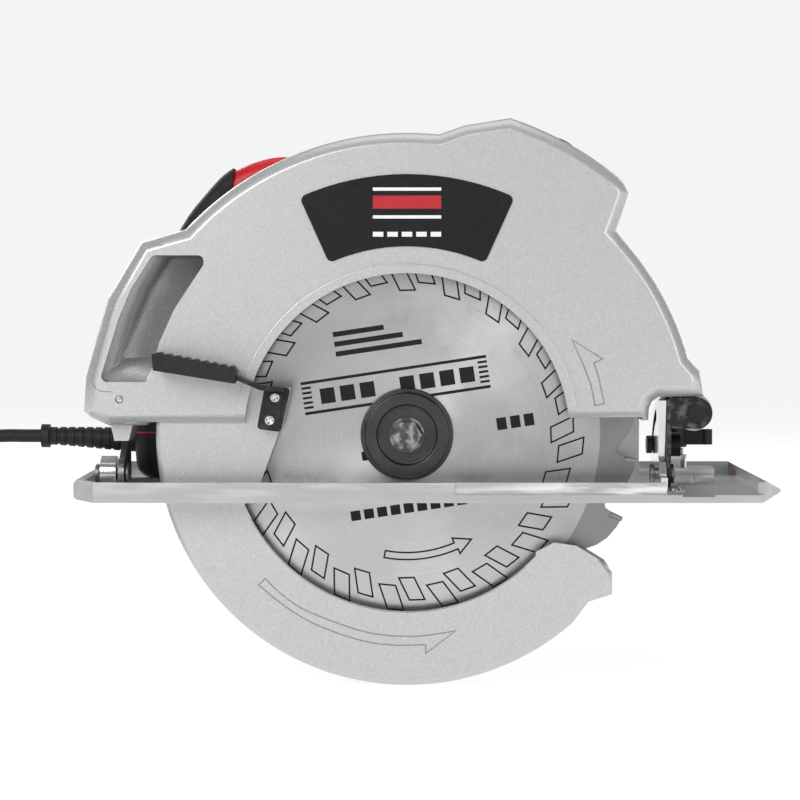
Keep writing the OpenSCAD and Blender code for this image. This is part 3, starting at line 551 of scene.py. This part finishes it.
def add_guards():
    stand_in(upper_guard_piece(), MAT["guard_paint"], "upper_guard")
    stand_in(lower_guard_piece(), MAT["guard_paint"], "lower_guard")
    # the lining takes the guard paint darkened: painted shade inside the chip outlet
    attach(chute_lining(), MAT["chute_painted_shade"], "upper_guard")
    pin = [[(-143.8 + 1.7 * math.cos(a / 8 * math.pi), 18.4 + 1.7 * math.sin(a / 8 * math.pi)) for a in range(16)]]
    attach(flat_shape("chip_box_pin", pin, GUARD_FRONT + 2.5, GUARD_FRONT + 0.5, 0.3), MAT["zinc"], "upper_guard")
    # the lines take the guard paint at half tone: painted shade of their grooves
    for name, node, points, w, width in engraved_lines():
        closed = name.endswith("arrow")
        piece = flat_shape(name, ribbon(points, width, closed), w, w - 0.07)
        attach(piece, MAT["engraving_painted_shade"], node)


def upper_guard_piece():
    front = AXIS.y + (GUARD_FRONT + 0.05) * MM
    opening = 90 * MM

    def outer_front(e):
        centre = (e.verts[0].co + e.verts[1].co) / 2
        flat = Vector((centre.x - AXIS.x, centre.z - AXIS.z))
        on_front = all(v.co.y < front and v.co.y > front - 0.3 * MM for v in e.verts)
        window = -156 < flat.x / MM < -99 and 24 < flat.y / MM < 92 and not on_outline(flat / MM)
        return on_front and flat.length > opening and not window

    bm = clean_copy("upper_guard")
    cutter = edge_cutter(longest_chain(sharp_edges(bm, 40, outer_front)), 6.0, GUARD_FRONT)
    bm = soften(bm, [e for e in sharp_edges(bm, 50) if not outer_front(e)], 0.6, 2)
    return weighted(carve_edge(new_object("upper_guard_piece", bm), cutter), 32)


def longest_chain(edges):
    """The longest run of joined edges, as points in u and v."""
    links = {}
    for e in edges:
        a, b = e.verts
        links.setdefault(a, []).append(b)
        links.setdefault(b, []).append(a)
    chains, left = [], set(links)
    while left:
        ends = [v for v in left if len(links[v]) == 1]
        at = min(ends or left, key=lambda v: v.co.x)
        chain = [at]
        left.discard(at)
        while True:
            onward = [v for v in links[at] if v in left]
            if not onward:
                break
            at = onward[0]
            left.discard(at)
            chain.append(at)
        chains.append(chain)
    best = max(chains, key=len)
    closed = best[0] in links[best[-1]]
    return [Vector((v.co.x - AXIS.x, v.co.z - AXIS.z)) / MM for v in best], closed


def edge_cutter(chain, radius, front, steps=7):
    """A solid that leaves a sloped, slightly rounded edge of the radius along the front of an outline."""
    points, closed = chain
    around = sum(a.x * b.y - a.y * b.x for a, b in zip(points, points[1:]))
    inward = 1 if around > 0 else -1
    angles = [math.pi / 2 * i / steps for i in range(steps + 1)]
    turns = [(1 - math.cos(a), 1 - math.sin(a)) for a in angles]
    slopes = [(i / steps, 1 - i / steps) for i in range(steps + 1)]
    section = [(radius * (0.5 * a[0] + 0.5 * b[0]) - 0.02, radius * (0.5 * a[1] + 0.5 * b[1]) - 0.02)
               for a, b in zip(turns, slopes)]
    section += [(radius, -3), (-3, -3), (-3, radius)]
    bm = bmesh.new()
    rings = []
    count = len(points)
    for i, p in enumerate(points):
        before = points[i - 1] if closed or i else p - (points[1] - p)
        after = points[(i + 1) % count] if closed or i < count - 1 else p + (p - points[i - 1])
        a, b = (p - before).normalized(), (after - p).normalized()
        side = inward * (Vector((-a.y, a.x)) + Vector((-b.y, b.x))).normalized()
        stretch = 1 / max(0.45, side.dot(inward * Vector((-a.y, a.x))))
        if not closed and i in (0, count - 1):
            p = p + (8 * b if i else -8 * a)
        rings.append([bm.verts.new(local(p.x + side.x * d * stretch, front + w, p.y + side.y * d * stretch))
                      for d, w in section])
    size = len(section)
    for i in range(count if closed else count - 1):
        one, two = rings[i], rings[(i + 1) % count]
        for k in range(size):
            n = (k + 1) % size
            bm.faces.new((one[k], one[n], two[n], two[k]))
    if not closed:
        bm.faces.new(rings[0][::-1])
        bm.faces.new(rings[-1])
    bmesh.ops.recalc_face_normals(bm, faces=bm.faces)
    return new_object("cutter", bm)


CHUTE_RIM = [(-126.9, 90.4), (-101.3, 90.4), (-101.5, 85.6), (-116.1, 63.6), (-123.8, 46.5), (-129.3, 27.1),
             (-151.3, 27.1), (-153.1, 29.5), (-143.9, 58.9), (-137.8, 73.4)]
CHUTE_FLOOR = [(-119.5, 90.0), (-101.8, 90.0), (-102, 85.4), (-116.6, 63.4), (-124.2, 46.3), (-126.4, 39.5),
               (-142.6, 38.6), (-143.6, 40.4), (-135.4, 59.6), (-129.6, 73.6)]


def chute_lining():
    """Sloped sides and back of the chip outlet, from the edge of its window inwards."""
    bm = bmesh.new()
    rim = [bm.verts.new(local(u, GUARD_FRONT + 2.9, v)) for u, v in CHUTE_RIM]
    back = [bm.verts.new(local(u, -10.6 + (u + 164) * 25 / 66, v)) for u, v in CHUTE_FLOOR]
    bm.faces.new(back)
    for i in range(len(rim)):
        n = (i + 1) % len(rim)
        bm.faces.new((rim[i], rim[n], back[n], back[i]))
    bmesh.ops.recalc_face_normals(bm, faces=bm.faces)
    bmesh.ops.triangulate(bm, faces=[f for f in bm.faces if len(f.verts) > 4])
    bm = soften(bm, sharp_edges(bm, 20), 1.6, 3)
    obj = new_object("chip_outlet_lining", bm)
    skin = obj.modifiers.new("skin", "SOLIDIFY")
    skin.thickness = 0.4 * MM
    skin.offset = 1
    return smooth(obj, 40)


def on_outline(point):
    """True along the outer edge of the chip box."""
    edge = [(-112, 103.8), (-133, 97.1), (-150, 68.5), (-161, 29.5), (-162.2, 12.4)]
    for a, b in zip(edge, edge[1:]):
        a, b = Vector(a), Vector(b)
        t = max(0, min(1, (point - a).dot(b - a) / (b - a).length_squared))
        if (point - a - (b - a) * t).length < 3:
            return True
    return point.y < 24 or point.y > 92


def lower_guard_piece():
    front = AXIS.y - 13.4 * MM

    def rim(e):
        centre = (e.verts[0].co + e.verts[1].co) / 2
        flat = Vector((centre.x - AXIS.x, centre.z - AXIS.z))
        return all(abs(v.co.y - front) < 0.3 * MM for v in e.verts) and flat.length > 119 * MM

    bm = clean_copy("lower_guard")
    cutter = edge_cutter(longest_chain(sharp_edges(bm, 40, rim)), 3.0, -13.5)
    bm = soften(bm, [e for e in sharp_edges(bm, 50) if not rim(e)], 0.5, 2)
    return weighted(carve_edge(new_object("lower_guard_piece", bm), cutter), 40)


def engraved_lines():
    front = GUARD_FRONT + 0.02
    lower_front = -13.5 + 0.02
    under = spline_open([(-74.7, -75.3), (-60.4, -86.7), (-45.2, -95.5), (-23.8, -103.1), (-6.9, -105.6),
                         (9.5, -105.4)])
    over = spline_open([(24.5, -98.4), (9.8, -100.7), (-0.8, -101.2), (-17.7, -99.7), (-34.4, -94.7), (-52.8, -87.1),
                        (-64.2, -79.0), (-71.3, -72.0)])
    lower_arrow = under + [(9.5, -109.8)] + over
    lip_line = arc(89.0, 208, 312, 60)
    upper_arrow = [(82.4, 48.2), (97.7, 38.7), (93.3, 36.8), (95.8, 29.1), (98.6, 16.4), (93.9, 15.4),
                   (92.0, 25.3), (88.2, 35.5)]
    box = [(-122, 96), (-128, 95.2), (-132.5, 91), (-142, 75.5), (-148.5, 61), (-157.2, 31), (-157.4, 26.5),
           (-154, 22.8), (-147, 22.2)]
    return [("upper_arrow", "upper_guard", upper_arrow, front, 0.7),
            ("chip_box_line", "upper_guard", spline_open(box), front, 0.5),
            ("lower_arrow", "lower_guard", lower_arrow, lower_front, 0.7),
            ("lip_line", "lower_guard", lip_line, lower_front, 0.45)]


# ---- label ----

def bar(u, v, width, height, tilt=0.0, about=(0, 0)):
    """A plain rectangle, turned by tilt degrees about a point."""
    c, t = math.cos(math.radians(tilt)), math.sin(math.radians(tilt))
    corners = [(u, v), (u + width, v), (u + width, v + height), (u, v + height)]
    return [(about[0] + c * x - t * y, about[1] + t * x + c * y) for x, y in corners]


def add_label():
    stand_in(rounded("label_plate", 0.15), MAT["label_black"], "label_plate")
    top = GUARD_FRONT - 0.7
    red_bars = [bar(-17, 113.5, 34, 6.5)]
    white_bars = [bar(-17, 108.6, 34, 1.6), bar(-17, 122.4, 34, 1.6)]
    white_bars += [bar(-17 + 7.2 * i, 99.6, 5.2, 2.4) for i in range(5)]
    attach(flat_shape("label_red_band", red_bars, top, top - 0.06), MAT["label_red"], "label_plate")
    attach(flat_shape("label_white_bars", white_bars, top, top - 0.06), MAT["label_white"], "label_plate")


# ---- blade ----

PRINT_TILT = 8.5
PAIRS = 20


def add_blade():
    stand_in(rounded("saw_blade", 0.15, 1, 50), MAT["blade_steel"], "saw_blade")
    stand_in(rounded("carbide_teeth", 0.2, 1, 50), MAT["carbide"], "carbide_teeth")
    stand_in(rounded("outer_flange", 0.7, 3), MAT["flange_steel"], "outer_flange")
    stand_in(rounded("inner_flange", 0.5, 2), MAT["flange_steel"], "inner_flange")
    stand_in(rounded("blade_bolt", 0.6, 3, 25), MAT["bolt_steel"], "blade_bolt")
    front = BLADE_FRONT
    for name, outlines in (("blade_print_ring", ring_print()), ("blade_print_arrow", arrow_print()),
                           ("blade_print_bars", bar_print())):
        attach(flat_shape(name, outlines, front, front - 0.04), MAT["print_black"], "saw_blade")


def ring_print():
    """Two rows of slanted outlines round the rim."""
    out = []
    for k in range(PAIRS):
        for r0, r1, turn, half in ((73, 84.4, 1.8, 3.9), (77.2, 89.4, -5.4, 4.2)):
            slant = 0.45 * (r1 - r0) / 2
            a = math.radians(360 / PAIRS * k + turn)
            corners = [(r0, -half - slant), (r0, half - slant), (r1, half + slant), (r1, -half + slant)]
            flat = [(r * math.cos(a) - t * math.sin(a), r * math.sin(a) + t * math.cos(a)) for r, t in corners]
            out += ribbon(flat, 0.85)
    return out


def arrow_print():
    inner, outer = 60.2, 63.8
    body = arc(inner, 259.5, 293.5, 12) + [polar(inner - 2.6, 293.5), polar(62.6, 301.5), polar(outer + 2.6, 294)]
    return ribbon(body + arc(outer, 294, 259.5, 12), 0.85)


def bar_print():
    """Ruled box and plain blocks where a maker prints its words."""
    t = PRINT_TILT
    box_at, low_at = (-51.5, 9.6), (-24, -31)
    out = [bar(0, 15.4, 95, 1.5, t, box_at), bar(0, 0, 37.5, 1.5, t, box_at), bar(62, 0, 33, 1.5, t, box_at)]
    for end in (0, 90.2):
        out += [bar(end, 3 + 2.5 * i, 4.8, 1.2, t, box_at) for i in range(5)]
    out += [bar(9 + 10.2 * i, 4.4, 7.4, 7.8, t, box_at) for i in (0, 1, 2, 4, 5, 6, 7)]
    out += [bar(0, 26 + 5 * i, 44 - 9 * i, 2.6, t, (-32, 13.6)) for i in range(3)]
    out += [bar(7 * i, 0, 5, 6.2, t, (46, 2)) for i in range(3)]
    out += [bar(4 + 6.8 * i, 17, 5, 4.6, t, low_at) for i in range(7)]
    out += [bar(-6 + 6.8 * i, -12.5, 5, 5, t, low_at) for i in range(9)]
    return out


# ---- guard lever ----

def add_lever():
    stand_in(rounded("guard_lever_bracket", 0.3, 2), MAT["black_steel"], "guard_lever_bracket")
    stand_in(rounded("guard_lever_grip", 0.9, 3, 25), MAT["grip_black"], "guard_lever_grip")
    screws = screw_heads("bracket_screws")
    stand_in(screws, MAT["zinc"], "bracket_screws")


def screw_heads(node):
    """Domed heads with a cross recess, on the shanks of the node's own screws."""
    obj = rounded(node, 0.5, 4, 25)
    obj.modifiers.clear()
    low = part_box(node)[0]
    for middle in islands(node):
        for turn in (20, 110):
            cutter_bm = bmesh.new()
            bmesh.ops.create_cube(cutter_bm, size=1)
            size = Matrix.Diagonal((3.6 * MM, 1.6 * MM, 0.75 * MM, 1))
            place = Matrix.Translation((middle.x, low.y, middle.z))
            bmesh.ops.transform(cutter_bm, matrix=place @ Matrix.Rotation(math.radians(turn), 4, "Y") @ size,
                                verts=cutter_bm.verts)
            carve(obj, new_object("cutter", cutter_bm))
    return smooth(obj, 40)


def islands(node):
    """The middle of each separate solid of a node."""
    bm = bmesh.new()
    bm.from_mesh(frame["nodes"][node].data)
    bmesh.ops.remove_doubles(bm, verts=bm.verts, dist=2e-6)
    left = set(bm.verts)
    found = []
    while left:
        group, queue = [], [left.pop()]
        while queue:
            v = queue.pop()
            group.append(v)
            for e in v.link_edges:
                other = e.other_vert(v)
                if other in left:
                    left.remove(other)
                    queue.append(other)
        lows = [min(v.co[i] for v in group) for i in range(3)]
        highs = [max(v.co[i] for v in group) for i in range(3)]
        found.append(Vector([(a + b) / 2 for a, b in zip(lows, highs)]))
    bm.free()
    return sorted(found, key=lambda p: (round(p.x, 5), round(p.y, 5), round(p.z, 5)))


def carve(obj, cutter, operation="DIFFERENCE"):
    """Cuts, joins or keeps the overlap with another mesh, and removes the cutter."""
    tool = obj.modifiers.new("carve", "BOOLEAN")
    tool.operation = operation
    tool.solver = "EXACT"
    tool.object = cutter
    done = evaluated(obj)
    obj.modifiers.remove(tool)
    old = obj.data
    obj.data = done
    bpy.data.meshes.remove(old)
    bpy.data.objects.remove(cutter)
    return obj


def carve_edge(obj, cutter):
    """Carves an edge, or leaves it sharp if that would lose more than a tenth of the piece."""
    whole = obj.data.copy()
    carve(obj, cutter)
    if not 0.9 < volume(obj.data) / volume(whole) <= 1:
        obj.data = whole
    else:
        bpy.data.meshes.remove(whole)
    return obj


def volume(mesh):
    bm = bmesh.new()
    bm.from_mesh(mesh)
    size = bm.calc_volume()
    bm.free()
    return size


# ---- handles ----

HANDLE_OUTLINE = [(8, 74), (-4, 86), (-20, 98), (-30, 112), (-38, 127), (-48, 138), (-61, 142.6), (-76, 141),
                  (-92, 134), (-104, 122), (-116, 106), (-128, 80), (-137, 50), (-142.5, 15), (-142.8, -14),
                  (-139, -24), (-128, -26), (-112, -22), (-95, -12), (-75, -4.5), (-44, -4), (-42, 14),
                  (-30, 44), (-10, 62)]
HANDLE_GAP = [(-52, 99), (-66, 107.6), (-84, 103), (-96, 88), (-106, 62), (-111, 36), (-111, 16), (-100, 8.5),
              (-72, 12), (-58, 30), (-52, 55), (-48.4, 80)]
GRIP_ZONE = [(-90, 152), (-91, 128), (-101, 103), (-97, 86), (-90, 60), (-95, 10), (-160, 10), (-160, 152)]
HANDLE_EDGE = 7.0


def add_handles():
    low, high = (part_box("handle_left_shell")[0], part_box("handle_right_shell")[1])
    w0, w1 = (low.y - AXIS.y) / MM, (high.y - AXIS.y) / MM
    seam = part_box("handle_right_shell")[0].y
    loops = [spline_through(HANDLE_OUTLINE, 5), spline_through(HANDLE_GAP, 5)]
    for node, keep in (("handle_left_shell", -1), ("handle_right_shell", 1)):
        shell = flat_shape(node + "_piece", loops, w1, w0, HANDLE_EDGE)
        halve(shell, seam + keep * 0.12 * MM, keep)
        stand_in(shell, MAT["red_plastic"], node)
        shell.data.materials.append(MAT["black_plastic"])
        paint_heel(shell)
    swell = (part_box("handle_grip")[0].y - low.y) / MM
    grip = flat_shape("handle_grip_piece", loops, w1 - swell, w0 + swell, HANDLE_EDGE, grow=abs(swell))
    zone = flat_shape("zone", [spline_through(GRIP_ZONE, 1)], w1 + 20, w0 - 20)
    carve(grip, zone, "INTERSECT")
    stand_in(smooth(grip, 30), MAT["soft_black"], "handle_grip")
    stand_in(rounded("trigger", 1.6, 4, 30), MAT["black_plastic"], "trigger")
    stand_in(rounded("lock_off_button", 1.0, 3, 30), MAT["red_plastic"], "lock_off_button")
    stand_in(rounded("handle_screws", 0.3, 2), MAT["zinc"], "handle_screws")
    add_front_handle()


def paint_heel(shell):
    """The foot of the handle is black, with a thin red line round it; the black from that line up to 7 mm is painted
    shade on the red plastic.
    """
    bm = bmesh.new()
    bm.from_mesh(shell.data)
    for v in (7, -1.0, -1.8):
        everything = bm.verts[:] + bm.edges[:] + bm.faces[:]
        bmesh.ops.bisect_plane(bm, geom=everything, dist=1e-6, plane_co=local(0, 0, v), plane_no=(0, 0, 1))
    for face in bm.faces:
        place = (face.calc_center_median() - AXIS) / MM
        # black below the red line is the foot's plastic; black above it, up to 7 mm, is painted shade on the red
        if place.x < -60 and place.z < 7 and not -1.8 < place.z < -1.0:
            face.material_index = 1
    bm.to_mesh(shell.data)
    bm.free()


def halve(obj, y, keep):
    """Keeps the half of the piece on one side of y, and closes the cut."""
    bm = bmesh.new()
    bm.from_mesh(obj.data)
    cut = bmesh.ops.bisect_plane(bm, geom=bm.verts[:] + bm.edges[:] + bm.faces[:], dist=1e-6, plane_co=(0, y, 0),
                                 plane_no=(0, -keep, 0), clear_outer=True)
    rim = [e for e in cut["geom_cut"] if isinstance(e, bmesh.types.BMEdge)]
    bmesh.ops.triangle_fill(bm, edges=rim, use_beauty=True)
    bmesh.ops.recalc_face_normals(bm, faces=bm.faces)
    bm.to_mesh(obj.data)
    bm.free()
    smooth(obj, 40)


def add_front_handle():
    """The bar and its leg, with a ribbed sleeve on the bar."""
    leg = rounded("front_handle", 2.2, 4, 30)
    stand_in(leg, MAT["black_plastic"], "front_handle")
    low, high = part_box("front_handle")
    centre = (high.x - 20 * MM, low.y, high.z - 20 * MM)
    profile = [(6, 14), (6.2, 15.6)]
    ribs = 13
    for i in range(ribs):
        at = 8 + 5.2 * i
        profile += [(at, 15.7), (at + 0.4, 16.3), (at + 3.2, 16.3), (at + 3.6, 15.7), (at + 4.4, 15.2)]
    profile += [(77.5, 15.7), (79.4, 15.7), (79.6, 14)]
    sleeve = lathe("front_handle_sleeve", profile, centre, (0, 1, 0), 56)
    attach(sleeve, MAT["soft_black"], "front_handle")


# ---- springs ----

def helix(centre, axis, radius, start, rise, turns, wire, name):
    """A coil of round wire about a line along Y or Z."""
    steps = int(turns * 36)
    points = []
    for i in range(steps + 1):
        a = 2 * math.pi * turns * i / steps
        along = start + rise * i / steps
        if axis == "Z":
            points.append(Vector((centre.x + radius * math.cos(a), centre.y + radius * math.sin(a), along)))
        else:
            points.append(Vector((centre.x + radius * math.cos(a), along, centre.z + radius * math.sin(a))))
    return tube_mesh(name, points, wire, 10)


def add_springs():
    low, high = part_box("fence_clamp_spring")
    middle = (low + high) / 2
    wire = 0.4 * MM
    coil = helix(middle, "Z", (high.x - low.x) / 2 - wire, low.z + wire, high.z - low.z - 2 * wire, 4, wire,
                 "fence_spring_coil")
    stand_in(coil, MAT["zinc"], "fence_clamp_spring")
    low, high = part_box("guard_spring")
    wire = 0.65 * MM
    coil = helix(AXIS, "Y", (high.x - low.x) / 2 - wire, low.y + wire, high.y - low.y - 2 * wire, 3, wire,
                 "guard_spring_coil")
    stand_in(coil, MAT["zinc"], "guard_spring")


# ---- all other hard parts: the CAD shape with rounded edges ----

# node: (material, edge width in millimetres)
PLAIN_PARTS = {
    "base_plate": ("base_metal", 0.7), "bevel_quadrant": ("mirror_steel", 0.35),
    "bracket_rivets": ("dark_steel", 0.5), "rear_bevel_ear": ("mirror_steel", 0.5),
    "bevel_pivot_pins": ("dark_steel", 0.5), "fence_clamp_bridge": ("base_metal", 0.6),
    "fence_clamp_knob": ("black_plastic", 1.1), "front_tilt_bracket": ("black_steel", 0.5),
    "rear_tilt_bracket": ("dark_steel", 0.5), "depth_arc": ("mirror_steel", 0.5),
    "depth_pivot_pin": ("black_steel", 0.7), "bevel_lock_lever": ("black_plastic", 1.0),
    "gear_case": ("cast_alloy", 1.2), "gear_case_cover": ("cast_alloy", 1.0),
    "gear_case_screws": ("zinc", 0.6), "motor_housing": ("red_plastic", 1.0),
    "motor_end_cap": ("black_plastic", 1.0), "end_cap_screws": ("zinc", 0.4),
    "stator": ("lamination", 0.4), "brush_holders": ("brass_part", 0.4), "carbon_brushes": ("carbon", 0.3),
    "brush_caps": ("black_plastic", 0.4), "spindle_bearings": ("bearing_steel", 0.5),
    "armature_bearings": ("bearing_steel", 0.5), "switch_module": ("black_plastic", 0.8),
    "depth_lock_bolt": ("dark_steel", 0.5), "guard_retaining_ring": ("zinc", 0.3),
    "depth_lock_lever": ("black_plastic", 1.0), "spindle_lock_button": ("black_plastic", 0.4),
    "spindle": ("bearing_steel", 0.5), "spindle_gear": ("bearing_steel", 0.15),
    "armature": ("lamination", 0.5), "cooling_fan": ("fan_plastic", 0.3), "pinion": ("bearing_steel", 0.15),
}


def add_plain_parts():
    for node, (material, edge) in PLAIN_PARTS.items():
        stand_in(rounded(node, edge, 3), MAT[material], node)


def make_materials():
    black = (0.011, 0.011, 0.012)
    return {
        "guard_paint": silver_paint("guard_paint"),
        # guard paint at half tone: painted shade of the grooves of the cast lines
        "engraving_painted_shade": silver_paint("engraving_painted_shade", 0.5),
        # guard paint at 0.55 tone: painted shade for the hollow of the chip outlet
        "chute_painted_shade": silver_paint("chute_painted_shade", 0.55),
        "label_black": surface("label_black", (0.010, 0.010, 0.011), 0.36, vary=0.06, scale=120, bump=0.01,
                               specular=0.25),
        "label_red": surface("label_red", (0.45, 0.012, 0.02), 0.4, vary=0.05, scale=200, bump=0.01),
        "label_white": surface("label_white", (0.8, 0.8, 0.8), 0.4, vary=0.03, scale=200, bump=0.01),
        "print_black": surface("print_black", (0.012, 0.010, 0.010), 0.5, vary=0.2, scale=500, bump=0.01,
                               specular=0.2),
        "blade_steel": blade_steel(),
        "carbide": surface("carbide", (0.30, 0.30, 0.31), 0.35, 1.0, vary=0.1, scale=700, bump=0.08),
        "flange_steel": surface("flange_steel", (0.075, 0.072, 0.07), 0.34, 0.9, vary=0.15, scale=90, bump=0.05,
                                brush=tuple(AXIS), depth=0.0001),
        "bolt_steel": surface("bolt_steel", (0.11, 0.105, 0.10), 0.36, 0.95, vary=0.15, scale=200, bump=0.05,
                              wear=(0.4, 0.4, 0.4)),
        "base_metal": surface("base_metal", (0.50, 0.51, 0.52), 0.36, 0.75, vary=0.05, scale=60, grain=900, bump=0.05,
                              stretch=(0.12, 1, 1), wear=(0.9, 0.9, 0.9)),
        "mirror_steel": surface("mirror_steel", (0.72, 0.71, 0.70), 0.14, 1.0, vary=0.04, scale=60, grain=1200,
                                bump=0.015, rough_vary=0.05),
        "dark_steel": surface("dark_steel", (0.24, 0.24, 0.25), 0.38, 1.0, vary=0.12, scale=120, bump=0.05),
        "black_steel": surface("black_steel", (0.012, 0.012, 0.013), 0.42, vary=0.15, scale=90, grain=1600,
                               bump=0.08, wear=(0.10, 0.10, 0.10), specular=0.3),
        "zinc": surface("zinc", (0.66, 0.66, 0.65), 0.28, 1.0, vary=0.07, scale=300, bump=0.04),
        "cast_alloy": surface("cast_alloy", (0.42, 0.42, 0.42), 0.5, 0.8, vary=0.08, scale=150, grain=700, bump=0.18,
                              wear=(0.6, 0.6, 0.6)),
        "red_plastic": surface("red_plastic", (0.60, 0.012, 0.022), 0.38, vary=0.06, scale=50, grain=1400, bump=0.05,
                               specular=0.35),
        "black_plastic": surface("black_plastic", black, 0.42, vary=0.15, scale=90, grain=1200, bump=0.08,
                                 specular=0.3),
        "grip_black": surface("grip_black", (0.013, 0.015, 0.016), 0.5, vary=0.2, scale=150, grain=900, bump=0.1,
                              specular=0.3),
        "soft_black": surface("soft_black", (0.012, 0.012, 0.013), 0.62, vary=0.15, scale=120, grain=650, bump=0.16,
                              sheen=0.05, specular=0.3),
        "bearing_steel": surface("bearing_steel", (0.6, 0.6, 0.61), 0.22, 1.0, vary=0.04, scale=200, bump=0.03),
        "lamination": surface("lamination", (0.30, 0.17, 0.09), 0.45, 0.7, vary=0.25, scale=160, grain=1100,
                              bump=0.3, stretch=(1, 4, 1)),
        "brass_part": surface("brass_part", (0.72, 0.52, 0.2), 0.3, 1.0, vary=0.06, scale=120, bump=0.03),
        "carbon": surface("carbon", (0.03, 0.03, 0.03), 0.6, vary=0.3, scale=600, bump=0.15),
        "fan_plastic": surface("fan_plastic", (0.62, 0.62, 0.58), 0.5, vary=0.05, scale=90, bump=0.04),
    }


def blade_steel():
    """Brushed disc: fine rings, and a darker ground band outside the printed part."""
    mat = surface("blade_steel", (0.60, 0.585, 0.575), 0.30, 1.0, vary=0.05, scale=35, bump=0.0, rough_vary=0.05,
                  brush=tuple(AXIS), depth=0.00002)
    tree = mat.node_tree
    shader = tree.nodes["Principled BSDF"]
    shader.inputs["Anisotropic"].default_value = 0.75
    tangent = tree.nodes.new("ShaderNodeTangent")
    tangent.direction_type = "RADIAL"
    tangent.axis = "Y"
    tree.links.new(tangent.outputs["Tangent"], shader.inputs["Tangent"])
    radius = next(n for n in tree.nodes if n.type == "VECT_MATH" and n.operation == "LENGTH")
    outside = tree.nodes.new("ShaderNodeMapRange")
    outside.inputs["From Min"].default_value = 0.0976
    outside.inputs["From Max"].default_value = 0.0982
    outside.inputs["To Max"].default_value = 0.55
    tree.links.new(radius.outputs["Value"], outside.inputs["Value"])
    darker = tree.nodes.new("ShaderNodeMix")
    darker.data_type = "RGBA"
    darker.inputs[7].default_value = (0.16, 0.155, 0.15, 1)
    tree.links.new(outside.outputs["Result"], darker.inputs[0])
    tree.links.new(shader.inputs["Base Color"].links[0].from_socket, darker.inputs[6])
    tree.links.new(darker.outputs[2], shader.inputs["Base Color"])
    return mat


add_camera()
MAT = make_materials()
add_cord()
add_studio()
add_guards()
add_label()
add_blade()
add_lever()
add_handles()
add_springs()
add_plain_parts()
